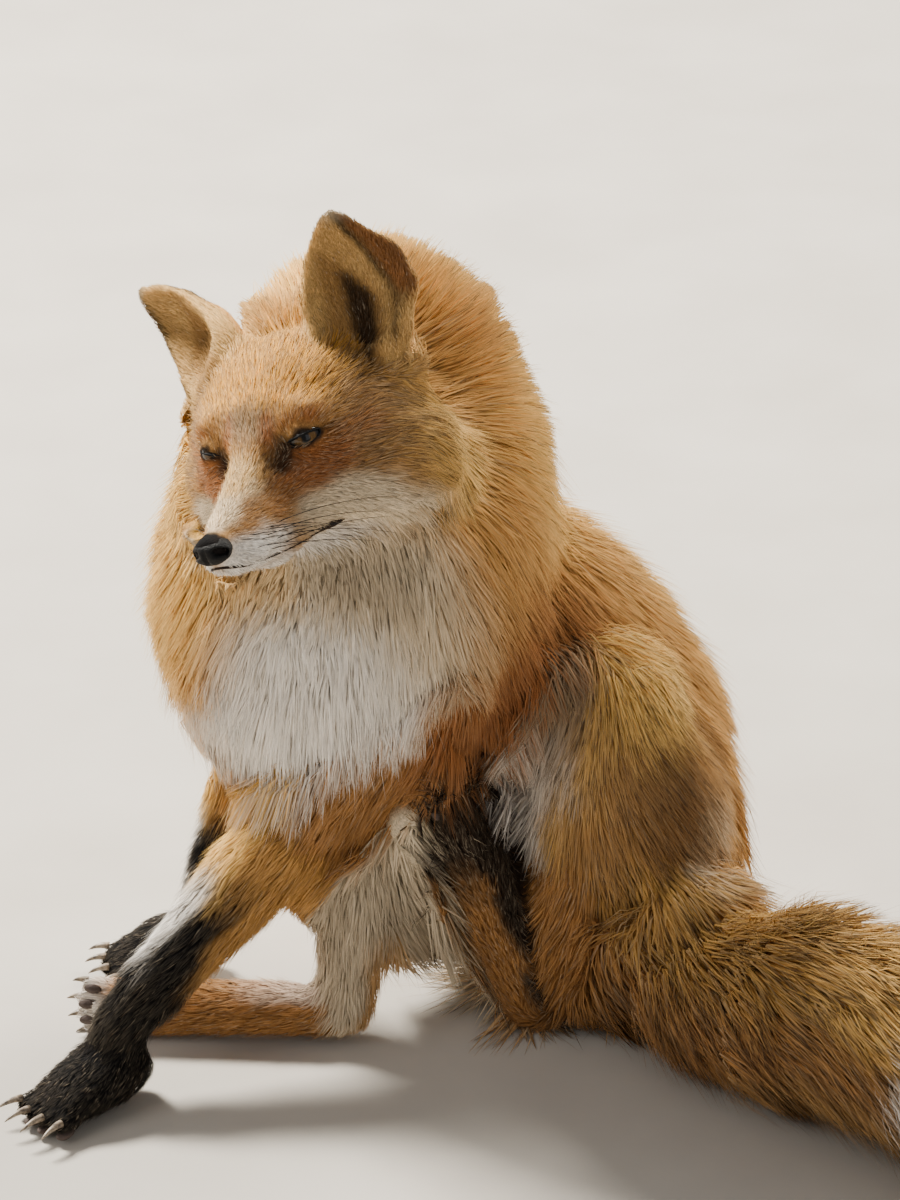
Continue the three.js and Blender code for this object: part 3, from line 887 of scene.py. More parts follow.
def eye_middle(side):
    return np.array([side * EYE_SPACING / 2, EYE_FORWARD, 0])


def eye_axes(side):
    """Gaze, direction to the outer corner and upward direction of one eye."""
    mirror = np.array([side, 1, 1])
    gaze = unit(np.array(GAZE) * mirror)
    corner = np.array(CORNERS) * mirror
    corner = unit(corner - gaze * (corner @ gaze))
    rise = np.cross(gaze, corner)
    return gaze, corner, rise * math.copysign(1, rise[2])


def lid_distance(local, side):
    """Angles from the gaze, and millimetres outside the lids' opening."""
    gaze, corner, rise = eye_axes(side)
    ray = unit(local - eye_middle(side))
    out = ray @ corner
    lift = ray @ rise
    ahead = ray @ gaze
    out, lift = np.arctan2(out, ahead), np.arctan2(lift, ahead)
    top, bottom = SLITS[side]
    half = np.where(lift > 0, top, bottom)
    power = np.where(lift > 0, *FLATNESS)
    reach = np.abs(out / SLIT_HALF_WIDTH) ** power + np.abs(lift / half) ** power
    reach = np.maximum(reach ** (1 / power), 1e-3)
    return out, lift, EYE_RADIUS * np.hypot(out, lift) * (1 - 1 / reach)


def open_lids(local, side):
    """Lays the skin round the eyeball and opens it between the lids."""
    gaze, _, _ = eye_axes(side)
    offset = local - eye_middle(side)
    distance = np.linalg.norm(offset, axis=1)
    ray = unit(offset)
    _, _, outside = lid_distance(local, side)
    near = (ray @ gaze > -0.85) & (distance < 20)
    cover = EYE_RADIUS + 0.9
    lid = cover + (np.maximum(distance, cover) - cover) * smooth(outside, 0.5, 9)
    wanted = np.where(outside < 0, EYE_RADIUS - 1.5, lid)
    wanted = np.where(near, wanted, distance)
    return eye_middle(side) + ray * wanted[:, None]


def round_eyes(local):
    """Lifts the outline over the back and sides of the eyeballs."""
    for side in (-1, 1):
        offset = local - eye_middle(side)
        distance = np.linalg.norm(offset, axis=1)
        near = (unit(offset) @ eye_axes(side)[0] > -0.85) & (distance < EYE_RADIUS + 1.5)
        lifted = eye_middle(side) + unit(offset) * (EYE_RADIUS + 1.5)
        local = np.where(near[:, None], lifted, local)
    return local


def whisker_roots():
    """Four rows of whiskers on the pad of the right lip; the left is its mirror."""
    roots = []
    for row in range(4):
        for place in range(5):
            forward = 65 - place * 6.5 - row * 1.5
            roots.append((11 + place * 1.3 + row * 0.6, forward, -29 - row * 3.6 - place * 0.4))
    return np.array(roots, float)


# ------------------------------------------------------------------------ skin


def head_depth(local):
    """Depth of the coat on the head: shallow on the muzzle, deep in the cheeks."""
    back = smooth(-local[:, 1], -25, 80)
    cheek = smooth(np.abs(local[:, 0]), 26, 60) * smooth(-local[:, 2], -20, 20)
    return 2.0 + 7.0 * back + 11.0 * smooth(-local[:, 1], -10, 55) * cheek


def owner_of(places):
    """The node whose surface is nearest to each place."""
    corners, faces, nodes = [], [], []
    start = 0
    for node_name in NODES:
        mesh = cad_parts[node_name].data
        found = places_of(mesh)
        triangles = triangles_of(mesh)
        corners.append(found)
        faces.append(triangles + start)
        nodes.append(np.full(len(triangles), NUMBER[node_name]))
        start += len(found)
    tree = tree_of(np.vstack(corners), np.vstack(faces))
    nodes = np.concatenate(nodes)
    return nodes[[tree.find_nearest(place)[2] for place in places.tolist()]]


def coat_lie(places, owner, local):
    """Which way the hair points, before it is laid on the skin."""
    lie = np.zeros_like(places)
    for node_name, (start, end) in LIMB_LIE.items():
        lie[owner == NUMBER[node_name]] = unit(AT[end] - AT[start])
    head_middle = middle("head")
    below = np.clip((head_middle[2] + 20 - places[:, 2]) / 90, 0.0, 1.0)
    spread = unit(places - head_middle)
    fall = (0.25 + 1.6 * below)[:, None]
    falling = unit(spread * (1 - 0.75 * below)[:, None] + [0, 0, -1] * fall)
    for node_name in ("neck", "chest"):
        here = owner == NUMBER[node_name]
        lie[here] = falling[here]
    along_back = unit(AT["seat"] - AT["withers"])
    for node_name, drop in (("loin", 0.3), ("rump", 0.9)):
        here = owner == NUMBER[node_name]
        hang = (1 - smooth(places[here, 2], 90, 150))[:, None]
        lie[here] = unit(along_back * (1 - hang) + [0, 0, -1] * (drop + hang))
    here = owner == NUMBER["thigh_left"]
    crest = places[here, 0] - thigh_edge(places[here, 2])
    inward, outward = np.array([-0.3, -0.3, -0.9]), np.array([0.5, 0.1, -0.85])
    parted = mixed(inward, outward, smooth(crest, -14, 20))
    lie[here] = unit(parted + 0.5 * unit(places[here] - (12, -30, 215)))
    bends = [middle(n) for n in ("rump", "tail_base", "tail_middle", "tail_tip")]
    bends.append(bends[-1] + [-30, -90, -30])
    for index, node_name in enumerate(("tail_base", "tail_middle", "tail_tip")):
        here = owner == NUMBER[node_name]
        lie[here] = unit(bends[index + 2] - bends[index]) + [0, 0, -0.25]
    here = belongs(owner, ("head", "nose"))
    lie[here] = head_lie(local[here])
    for ear in EARS:
        _, axes = ear_axes(ear)
        here = owner == NUMBER[ear]
        lie[here] = (axes[2] + 0.25 * axes[1]) @ HEAD_AXES
    return unit(lie)


def head_lie(local):
    """The hair of the head sweeps back from the nose and parts round the eyes."""
    lie = unit(local - (NOSE_TIP + [0, 6, 6]))
    cheek = smooth(np.abs(local[:, 0]), 15, 45) * smooth(-local[:, 2], 0, 40)
    lie = lie + np.array([0, 0, -0.5]) * cheek[:, None]
    rear = smooth(-local[:, 1], 5, 45) * smooth(np.abs(local[:, 0]), 30, 60)
    lie = lie + np.array([0, 0, -1.3]) * rear[:, None]
    for side in (-1, 1):
        offset = local - eye_middle(side)
        near = 1 - smooth(np.linalg.norm(offset, axis=1), 11, 22)
        lie = lie + unit(offset) * (1.5 * near)[:, None]
    return unit(lie) @ HEAD_AXES


class Skin:
    """The fox's outline and skin, with what the coat needs at each vertex."""

    def __init__(self, piece):
        mesh = piece.data
        self.net = Net(mesh)
        self.triangles = triangles_of(mesh)
        self.outline = from_head(round_eyes(to_head(places_of(mesh))))
        self.normals = normals_of(self.outline, self.triangles)
        self.owner = owner_of(self.outline)
        local = to_head(self.outline)
        table = np.array([COAT[node_name] for node_name in NODES], float)[self.owner]
        on_head = self.owner == NUMBER["head"]
        depth = head_depth(local)
        table[on_head, 0] = depth[on_head]
        from_face = np.linalg.norm(self.outline - middle("head"), axis=1)
        ruff = belongs(self.owner, ("neck", "chest"))
        growing = np.where(ruff, smooth(from_face, 60, 125), 1.0)
        table[:, 0] *= 0.45 + 0.55 * growing
        table[:, 1] *= 0.65 + 0.35 * growing
        table[on_head, 1] = (1.6 + 2.2 * depth)[on_head]
        table[on_head, 2] = (0.4 + 0.045 * depth)[on_head]
        table[on_head, 3] = (1.0 + 0.05 * depth)[on_head]
        table = self.net.evened(table, 24)
        self.depth, self.length, self.width, self.gap = table.T
        self.depth = np.minimum(self.depth, 0.3 * self.thickness())
        self.depth = self.net.evened(self.depth, 8)
        self.length = np.minimum(self.length, 4 + 3.0 * self.depth)
        from_jaw = np.linalg.norm(local - [0, 22, -60], axis=1)
        self.length *= 0.4 + 0.6 * np.where(on_head, 1.0, smooth(from_jaw, 38, 84))
        self.width = np.minimum(self.width, 0.4 + 0.08 * self.depth)
        lie = self.net.evened(coat_lie(self.outline, self.owner, local), 25)
        self.lie = unit(lie - self.normals * (lie * self.normals).sum(1)[:, None])
        belly = belongs(self.owner, ("loin", "rump", "chest", "thigh_right"))
        belly = belly & (self.normals[:, 2] < 0.1) & (self.outline[:, 2] < 120)
        self.loose = self.net.evened(belly * 34.0, 12)
        self.length = self.length + self.loose * 0.8
        self.colour, self.grizzle = markings(self.outline, self.normals, self.owner)
        self.colour = self.net.evened(self.colour, 1)
        self.places = self.sunk()

    def thickness(self):
        """How far it is from each vertex through the body to its other side."""
        tree = tree_of(self.outline, self.triangles)
        deep = np.full(len(self.outline), 200.0)
        starts = self.outline - self.normals * 0.05
        for index, (start, way) in enumerate(zip(starts.tolist(), (-self.normals).tolist())):
            found = tree.ray_cast(start, way, 200.0)
            if found[0] is not None:
                deep[index] = found[3]
        return deep

    def sunk(self):
        """The skin itself: the outline, lowered by the depth of the coat."""
        normals = unit(self.net.evened(self.normals, 6))
        places = self.outline - normals * self.depth[:, None]
        deep = smooth(self.depth, 5, 12)[:, None]
        places = mixed(places, self.net.evened(places, 12), deep[:, 0])
        local = to_head(places)
        on_head = np.linalg.norm(local, axis=1) < 60
        for side in (-1, 1):
            local[on_head] = open_lids(local[on_head], side)
        return np.where(on_head[:, None], from_head(local), places)


def merged_copy(node_name):
    """A clean, closed copy of one CAD solid, swollen by less than half a millimetre."""
    piece = bpy.data.objects.new("copy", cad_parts[node_name].data.copy())
    bpy.context.scene.collection.objects.link(piece)
    pick(piece)
    all_faces(bpy.ops.mesh.remove_doubles, threshold=0.01 * MM)
    if node_name in PAWS:
        trim_claws(piece, node_name)
    apply_modifier(piece, "DISPLACE", strength=0.4 * MM, mid_level=0.0)
    return piece


def toe_places(paw):
    """The middle of each toe, the way it points and the top of the paw."""
    tips, root, above, width, _ = PAWS[paw]
    ahead = AT[tips] - AT[root]
    if paw.startswith("forepaw"):
        ahead = ahead * [1, 1, 0]
    ahead = unit(ahead)
    side = unit(np.cross(above, ahead))
    top = np.cross(ahead, side)
    toes = []
    for toe in range(4):
        across = (toe - 1.5) / 1.5
        splay = unit(ahead + side * across * 0.2)
        place = AT[tips] + side * across * width * 0.35 - ahead * (9 + abs(across) * 5)
        toes.append((place, splay, top))
    return toes


def trim_claws(piece, paw):
    """Draws the claws' points back into the toes, which get claws of their own."""
    places = places_of(piece.data)
    for place, splay, _ in toe_places(paw):
        offset = places - place
        reach = offset @ splay
        aside = np.linalg.norm(offset - reach[:, None] * splay, axis=1)
        out = (reach > 12.5) & (aside < 5)
        places[out] -= splay * (reach[out] - 12.5)[:, None]
    place_all(piece.data, places)


def make_skin():
    """Joins copies of the solids into one closed skin."""
    settings = bpy.context.scene.fox_coat
    copies = [merged_copy(node_name) for node_name in NODES]
    deselect()
    for piece in copies:
        piece.select_set(True)
    bpy.context.view_layer.objects.active = copies[0]
    bpy.ops.object.join()
    piece = bpy.context.object
    piece.name = piece.data.name = "skin"
    apply_modifier(piece, "REMESH", mode="VOXEL", voxel_size=settings.voxel)
    fill_creases(piece, settings)
    soften(piece)
    places = places_of(piece.data)
    owner = owner_of(places)
    local = to_head(places)
    shift = cup_ears(local, owner) - local
    shift = Net(piece.data).evened(shift, 6)
    place_all(piece.data, from_head(shape_face(local + shift)))
    thin_out(piece, settings.skin_faces)
    all_faces(bpy.ops.uv.smart_project, angle_limit=1.15, island_margin=0.002)
    piece.data.uv_layers.active.name = "OFBake"
    return piece


FULL_COATED = ("neck", "chest", "loin", "rump", "thigh_right", "tail_base")


def fill_creases(piece, settings):
    """Grows and shrinks the trunk again, which fills the creases that fur hides."""
    for strength in (settings.crease, -settings.crease):
        places = places_of(piece.data)
        local = to_head(places)
        owner = owner_of(places)
        weight = belongs(owner, FULL_COATED).astype(float)
        behind = smooth(-local[:, 1], 22, 52) * (1 - smooth(local[:, 2], 8, 34))
        throat = smooth(-local[:, 2], 47, 58) * (1 - smooth(local[:, 1], 8, 34))
        weight = np.where(owner == NUMBER["head"], np.maximum(behind, throat), weight)
        for wrist in ("wrist_left", "wrist_right"):
            near = 1 - smooth(np.linalg.norm(places - AT[wrist], axis=1), 24, 46)
            weight = np.maximum(weight, near * 0.5)
        upper = smooth(places[:, 2], 40, 70)
        weight = np.where(owner == NUMBER["shank_right"], upper, weight)
        weight = Net(piece.data).evened(weight, 6)
        group = piece.vertex_groups.new(name="coated")
        for vertex in np.nonzero(weight > 0.01)[0].tolist():
            group.add([vertex], weight[vertex], "REPLACE")
        apply_modifier(piece, "DISPLACE", strength=strength, mid_level=0.0, vertex_group="coated")
        piece.vertex_groups.clear()
        apply_modifier(piece, "REMESH", mode="VOXEL", voxel_size=settings.voxel)


def shape_face(local):
    """Narrows the bridge of the nose, hollows the eyes' sockets and raises the brows."""
    x, y, z = local.T
    near = (np.abs(x) < 60) & (y > -40) & (y < 90) & (z > -75) & (z < 50)
    along = smooth(y, 4, 26) * (1 - smooth(y, 68, 80))
    x = x * (1 - 0.3 * along * smooth(z, -40, -14))
    shaped = np.stack([x, y, z], 1)
    for side in (-1, 1):
        for centre, radius, push in FACE_FORMS:
            mirror = np.array([side, 1, 1])
            reach = np.linalg.norm(shaped - np.array(centre) * mirror, axis=1) / radius
            share = (1 - smooth(reach, 0.0, 1.0))[:, None]
            shaped = shaped + np.array(push) * mirror * share
    return np.where(near[:, None], shaped, local)


def cup_ears(local, owner):
    """Bends each ear into a cup, rolls the left ear's outer edge outwards and narrows the right
    ear.
    """
    shaped = local.copy()
    for ear in EARS:
        here = owner == NUMBER[ear]
        place, axes = ear_axes(ear)
        across, front, height = ((local[here] - place) @ axes.T).T
        sign = 1 if ear == "ear_right" else -1
        outward = across * sign
        grown = smooth(height, 4, 26)
        bowl = 1 - np.clip(np.abs(outward - 2) / 24, 0, 1) ** 2
        front = front - 7 * bowl * grown * (1 - 0.6 * smooth(height, 40, 70))
        roll = smooth(outward, 8, 24) * grown * (1 - smooth(height, 44, 68))
        if ear == "ear_left":
            front = front - 5 * roll
            across = across + sign * 7 * roll
        else:
            across = across * (1 - grown * np.where(outward > 0, 0.3, 0.1))
        shaped[here] = np.stack([across, front, height], 1) @ axes + place
    return shaped


# Forms of the right side of the face: centre, radius, push, in the head frame.
FACE_FORMS = [
    ((17, 18, -4), 13, (-3.0, -1.5, -1.5)),
    ((26, 4, 14), 14, (0.8, 1.8, 0.6)),
    ((15, 58, -40), 16, (1.6, 0.6, 0.0)),
    ((30, 14, -20), 16, (1.2, 0.8, 0.0)),
    ((0, 26, 0), 14, (0.0, 0.0, -0.8)),
    ((9, 24, -52), 22, (0.0, 0.0, -2.8)),
]


# Rounds of evening out: on the body, beside the ears, and on the finer parts.
BODY_ROUNDS = 26
EAR_SIDE_ROUNDS = 14
FINE_ROUNDS = {"head": 7, "nose": 5, "ear_left": 3, "ear_right": 3, **dict.fromkeys(PAWS, 5)}


def soften(piece):
    """Evens out the facets: much on the body, little on the head, ears and feet."""
    mesh = piece.data
    net = Net(mesh)
    places = places_of(mesh)
    owner = owner_of(places)
    wanted = np.array([FINE_ROUNDS.get(node_name, BODY_ROUNDS) for node_name in NODES])[owner]
    local = to_head(places)
    for ear in EARS:
        base = np.linalg.norm(local - EARS[ear][0], axis=1) < 30
        wanted = np.where(base & (owner != NUMBER[ear]), EAR_SIDE_ROUNDS, wanted)
        place, axes = ear_axes(ear)
        low = base & ((local - place) @ axes[2] < 12) & (ear == "ear_right")
        wanted = np.where(low, BODY_ROUNDS, wanted)
    wanted = net.evened(wanted.astype(float), 6)
    for done in range(BODY_ROUNDS):
        share = np.clip(wanted - done, 0, 1)[:, None] * 0.5
        places = places + (net.evened(places, 1, 1.0) - places) * share
    place_all(mesh, places)


def thin_out(piece, faces):
    """Lowers the number of triangles, most of all away from the head and feet."""
    mesh = piece.data
    group = piece.vertex_groups.new(name="plain")
    owner = owner_of(places_of(mesh))
    fine = ("head", "ear_left", "ear_right", *HARD, *PAWS)
    group.add(np.nonzero(~belongs(owner, fine))[0].tolist(), 1.0, "REPLACE")
    count = sum(len(p.vertices) - 2 for p in mesh.polygons)
    if count > faces:
        apply_modifier(piece, "DECIMATE", ratio=faces / count, vertex_group="plain")
    piece.vertex_groups.clear()


def write_tint(mesh, colours):
    layer = mesh.attributes.new("tint", "FLOAT_COLOR", "POINT")
    rgba = np.ones((len(colours), 4), np.float32)
    rgba[:, :3] = colours
    layer.data.foreach_set("color", rgba.ravel())


# ------------------------------------------------------------------------ coat


def waves(places, scale, seed):
    """A gentle, endless unevenness over space, from -1 to 1 along each axis."""
    rng = np.random.default_rng(seed)
    total = np.zeros_like(places)
    for _ in range(5):
        turn = unit(rng.normal(size=3)) * rng.uniform(0.6, 1.6) / scale * 2 * math.pi
        push = unit(rng.normal(size=3))
        total += np.sin(places @ turn + rng.uniform(0, 6.28))[:, None] * push
    return total / 2.2


def spread_roots(skin, wanted, count, rng):
    """Roots scattered over the wanted triangles, densest where hair is finest."""
    corners = skin.outline[skin.triangles]
    area = np.linalg.norm(
        np.cross(corners[:, 1] - corners[:, 0], corners[:, 2] - corners[:, 0]), axis=1
    )
    gap = skin.gap[skin.triangles].mean(1)
    weight = np.where(wanted, area / gap**2, 0)
    steps = np.cumsum(weight)
    at = (np.arange(count) + rng.random(count)) / count * steps[-1]
    chosen = np.minimum(np.searchsorted(steps, at), len(steps) - 1)
    share = rng.random((count, 2))
    share = np.where(share.sum(1, keepdims=True) > 1, 1 - share, share)
    return chosen, np.column_stack([1 - share.sum(1), share])


STATIONS = np.array([0, 0.44, 1.0])
TURNS = [0, 1, 1, 1, 2]  # the station of each corner of a lock
LOCK_FACES = np.array([(0, 1 + k, 1 + (k + 1) % 3) for k in range(3)]
                      + [(1 + (k + 1) % 3, 1 + k, 4) for k in range(3)])
UNDERSIDE = np.array([False, True, False, False, True, False])
STRAY_SHARE = 0.07  # of the locks, which stand out of the coat
UNDER_SHARE = 0.28  # of the others, which make the short, broad underfur
UNDER_BREADTH = 2.1  # times that of an ordinary lock
STRAY_BREADTH = 0.3  # times the coat's own width
CLUMPS = ((60, 0.3), (8, 0.85))  # locks to a clump, and how far they draw together


class Locks:
    """Many locks of hair at once, each a bent, flattened spindle from root to tip."""

    def __init__(self, skin, outline, wanted, count, rng):
        chosen, share = spread_roots(skin, wanted, count, rng)
        corners = skin.triangles[chosen]

        def at_root(values):
            return (values[corners] * share[..., None]).sum(1)

        self.faces = chosen
        self.share = share
        self.root = at_root(skin.places)
        self.normal = unit(at_root(skin.normals))
        self.lie = at_root(skin.lie)
        self.depth = (skin.depth[corners] * share).sum(1)
        self.length = (skin.length[corners] * share).sum(1)
        self.width = (skin.width[corners] * share).sum(1)
        self.loose = (skin.loose[corners] * share).sum(1)
        self.stray = rng.random(count) < STRAY_SHARE
        self.under = ~self.stray & (rng.random(count) < UNDER_SHARE)
        self.bend(rng)
        self.gather(rng)
        self.hold_in(outline)

    def bend(self, rng):
        """Each lock's middle line, rising from the skin and laid over."""
        count = len(self.root)
        jitter = waves(self.root, 60, 3) * 0.2 + waves(self.root, 17, 4) * 0.2
        jitter += rng.normal(size=(count, 3)) * 0.11
        lie = unit(self.lie + jitter)
        lie = unit(lie - self.normal * (lie * self.normal).sum(1)[:, None])
        length = self.length * rng.uniform(0.78, 1.12, count)
        rise = self.depth * (1 - 0.6 * rng.random(count) ** 1.5)
        rise = np.where(self.under, rise * 0.55, rise)
        length = np.where(self.stray, length * 1.2, length)
        rise = np.where(self.stray, self.depth * 1.15 + 1.0, rise)
        reach = np.sqrt(np.maximum(length**2 - rise**2, (0.5 * length) ** 2))
        t = STATIONS[None, :, None]
        up = (1 - (1 - t) ** 1.7) * rise[:, None, None]
        out = t**1.12 * reach[:, None, None]
        self.line = self.root[:, None] + self.normal[:, None] * up + lie[:, None] * out
        self.line[:, 0] -= self.normal * 0.4

    def gather(self, rng):
        """Draws the tips of neighbouring locks together, in small clumps and large."""
        clumping = bpy.context.scene.fox_coat.clumping
        count = len(self.root)
        for each, strength in CLUMPS:
            leaders = rng.permutation(count)[: max(count // each, 1)]
            tree = KDTree(len(leaders))
            for place, leader in enumerate(leaders):
                tree.insert(self.root[leader], place)
            tree.balance()
            nearest = np.array([tree.find(root)[1] for root in self.root.tolist()])
            leader = leaders[nearest]
            alike = ((self.normal * self.normal[leader]).sum(1) > 0.5) & ~self.stray
            apart = np.linalg.norm(self.root - self.root[leader], axis=1)
            alike &= apart < 0.35 * self.length
            pull = strength * clumping * rng.uniform(0.4, 1.3, count) * alike
            share = np.clip(pull[:, None] * STATIONS[None] ** 1.4, 0, 0.9)
            self.line = mixed(self.line, self.line[leader], share)
            self.clump = nearest

    def hold_in(self, outline):
        """Keeps the hair inside the outline and notes where it shows."""
        proud = np.where(self.stray, 0.5 + 0.12 * self.length, 0.6) + self.loose
        for station in (1, 2):
            found = [outline.find_nearest(place) for place in self.line[:, station].tolist()]
            near = np.array([f[0] for f in found])
            normal = np.array([f[1] for f in found])
            height = ((self.line[:, station] - near) * normal).sum(1)
            excess = np.maximum(height - proud * STATIONS[station], 0)
            self.line[:, station] -= normal * excess[:, None]
            if station == 1:
                self.shown = np.array([f[2] for f in found])
        turned = (normal * self.normal).sum(1) < 0.25
        self.line[turned, 1:] = mixed(
            self.line[turned, 1:], self.line[turned, :1], np.full((turned.sum(), 2), 0.85)
        )
        self.width = np.where(turned, 0.3, 1.0) * self.width
        self.line[..., 2] = np.maximum(self.line[..., 2], HAIR_CLEARANCE)

    def colours(self, skin, hues, rng):
        """The colour at each station: darker roots, marked middles, tipped ends."""
        count = len(self.root)
        body = skin.colour[skin.triangles[self.shown]].mean(1)
        rooted = skin.colour[skin.triangles[self.faces]].mean(1)
        body = mixed(body, rooted, rng.random(count) * 0.8)
        grizzle = skin.grizzle[skin.triangles[self.faces]].mean(1)
        clump_tone = np.random.default_rng(5).uniform(0.88, 1.1, self.clump.max() + 1)
        tone = clump_tone[self.clump] * rng.uniform(0.84, 1.14, count)
        body = body * tone[:, None]
        dark = rng.random(count) < grizzle
        root = body * 0.68
        tip = mixed(body, hues["cream"], np.full(count, 0.08))
        tip = np.where(dark[:, None], hues["umber"], tip)
        band = mixed(body, hues["cream"], np.where(dark, 0.2, 0.0))
        return np.stack([root, band, tip], 1)

    def mesh(self, name, skin, hues, rng):
        """One joined mesh of all the locks, with their tint and maps."""
        count = len(self.root)
        along = unit(self.line[:, 2] - self.line[:, 0])
        top = unit(self.normal - along * (self.normal * along).sum(1)[:, None])
        side = np.cross(along, top)
        broad = rng.uniform(0.6, 1.25, count)
        broad = np.where(self.stray, STRAY_BREADTH, broad)
        broad = np.where(self.under, broad * UNDER_BREADTH, broad)
        radius = (self.width * broad * 0.5)[:, None, None]
        angles = np.radians([90, 210, 330])[None, :, None]
        outward = side[:, None] * np.cos(angles) + top[:, None] * np.sin(angles)
        flat = side[:, None] * np.cos(angles) + top[:, None] * np.sin(angles) * 0.45
        ring = self.line[:, 1:2] + flat * radius
        places = np.concatenate([self.line[:, :1], ring, self.line[:, 2:]], 1)
        faces = (LOCK_FACES[None] + (np.arange(count) * 5)[:, None, None]).reshape(-1, 3)
        mesh = mesh_of(name, places.reshape(-1, 3), faces)
        write_tint(mesh, self.colours(skin, hues, rng)[:, TURNS].reshape(-1, 3))
        self.lay_maps(mesh, skin, rng)
        self.lean_normals(mesh, outward, along)
        return mesh

    def lay_maps(self, mesh, skin, rng):
        """A streak map along each lock, and a tiny patch at its root's place on the skin's."""
        patch = 0.003
        at = (skin.bake_corners[self.faces] * self.share[..., None]).sum(1)
        at = np.clip(at, patch, 1 - patch)
        across = np.array([0.5, 0.5, 0.0, 1.0, 0.5])
        spread = np.column_stack([across, STATIONS[TURNS]]) - 0.5
        corners = (at[:, None] + spread[None] * patch)[:, LOCK_FACES.ravel()]
        layer = mesh.uv_layers.new(name="OFBake")
        layer.uv.foreach_set("vector", corners.astype(np.float32).ravel())
        spread = np.stack(
            [
                across[None] * self.width[:, None] * 2.6 + rng.uniform(0, 900, (len(at), 1)),
                STATIONS[TURNS][None] * self.length[:, None] * 0.05 + np.zeros((len(at), 1)),
            ],
            2,
        )
        layer = mesh.uv_layers.new(name="strand")
        layer.uv.foreach_set("vector", spread[:, LOCK_FACES.ravel()].astype(np.float32).ravel())
        mesh.uv_layers.active = mesh.uv_layers["OFBake"]

    def lean_normals(self, mesh, outward, along):
        """Leans the shading of each lock towards the skin's, so that the coat reads as one."""
        own = np.concatenate([self.normal[:, None], outward, along[:, None] * 0.3], 1)
        corners = own[:, LOCK_FACES.ravel()].reshape(len(own), 6, 3, 3)
        weight = np.where(UNDERSIDE, 0.0, 1.0)[None, :, None, None]
        corners = unit(corners * 0.6 + self.normal[:, None, None] * weight)
        mesh.normals_split_custom_set(corners.reshape(-1, 3).tolist())


def mesh_of(name, places, triangles):
    mesh = bpy.data.meshes.new(name)
    mesh.vertices.add(len(places))
    mesh.vertices.foreach_set("co", (places * MM).astype(np.float32).ravel())
    mesh.loops.add(triangles.size)
    mesh.loops.foreach_set("vertex_index", triangles.astype(np.int32).ravel())
    mesh.polygons.add(len(triangles))
    mesh.polygons.foreach_set("loop_start", np.arange(0, triangles.size, 3, dtype=np.int32))
    shade_smooth(mesh)
    mesh.update(calc_edges=True)
    return mesh


def bare(skin):
    """Triangles that stay without hair: the eyes' openings, the nose and the lips."""
    centres = skin.places[skin.triangles].mean(1)
    local = to_head(centres)
    owners = skin.owner[skin.triangles].max(1)
    found = belongs(owners, HARD)
    for side in (-1, 1):
        _, _, outside = lid_distance(local, side)
        near = np.linalg.norm(local - eye_middle(side), axis=1) < 18
        found |= near & (outside < 1.6)
    found |= np.linalg.norm((local - [0, 76, -28.5]) / [10.5, 12, 9.5], axis=1) < 1
    found |= lip_share(on_right(local)) > 0.35
    return found


# ------------------------------------------------------------------- operators


class FOX_OT_skin(bpy.types.Operator):
    """Model the one skin that stands for the head, trunk, limbs and tail"""

    bl_idname = "fox.skin"
    bl_label = "Skin"

    def execute(self, context):
        piece = make_skin()
        skin = Skin(piece)
        mesh = piece.data
        place_all(mesh, skin.places)
        shade_smooth(mesh)
        write_tint(mesh, skin.colour * 0.8)
        corners = numbers(mesh.loop_triangles, "loops", np.int32, 3)
        skin.bake_corners = numbers(mesh.uv_layers["OFBake"].uv, "vector", width=2)[corners]
        finish_piece(piece, skin_material())
        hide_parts(*FLESH)
        Made.skin = skin
        return {"FINISHED"}


class Made:
    """What one operator leaves for the next."""

    skin = None


class FOX_OT_coat(bpy.types.Operator):
    """Grow the coat as joined meshes of overlapping locks"""

    bl_idname = "fox.coat"
    bl_label = "Coat"

    def execute(self, context):
        skin = Made.skin
        if skin is None:
            raise RuntimeError("the coat needs the skin first")
        hues = palette()
        material = hair_material()
        outline = tree_of(skin.outline, skin.triangles)
        owners = skin.owner[skin.triangles[:, 0]]
        ahead = to_head(skin.outline)[skin.triangles].mean(1)
        hairless = bare(skin)
        for index, (name, nodes, count, slot) in enumerate(PIECES):
            rng = np.random.default_rng(SEED + index)
            wanted = belongs(owners, nodes) & ~hairless
            if name == "coat_face":
                wanted &= short_haired(ahead)
            if name == "coat_cheeks":
                wanted &= ~short_haired(ahead)
            count = int(count * context.scene.fox_coat.share)
            locks = Locks(skin, outline, wanted, count, rng)
            mesh = locks.mesh(name, skin, hues, rng)
            piece = bpy.data.objects.new(name, mesh)
            context.scene.collection.objects.link(piece)
            finish_piece(piece, material)
        return {"FINISHED"}


def short_haired(local):
    return head_depth(local) < 7.0


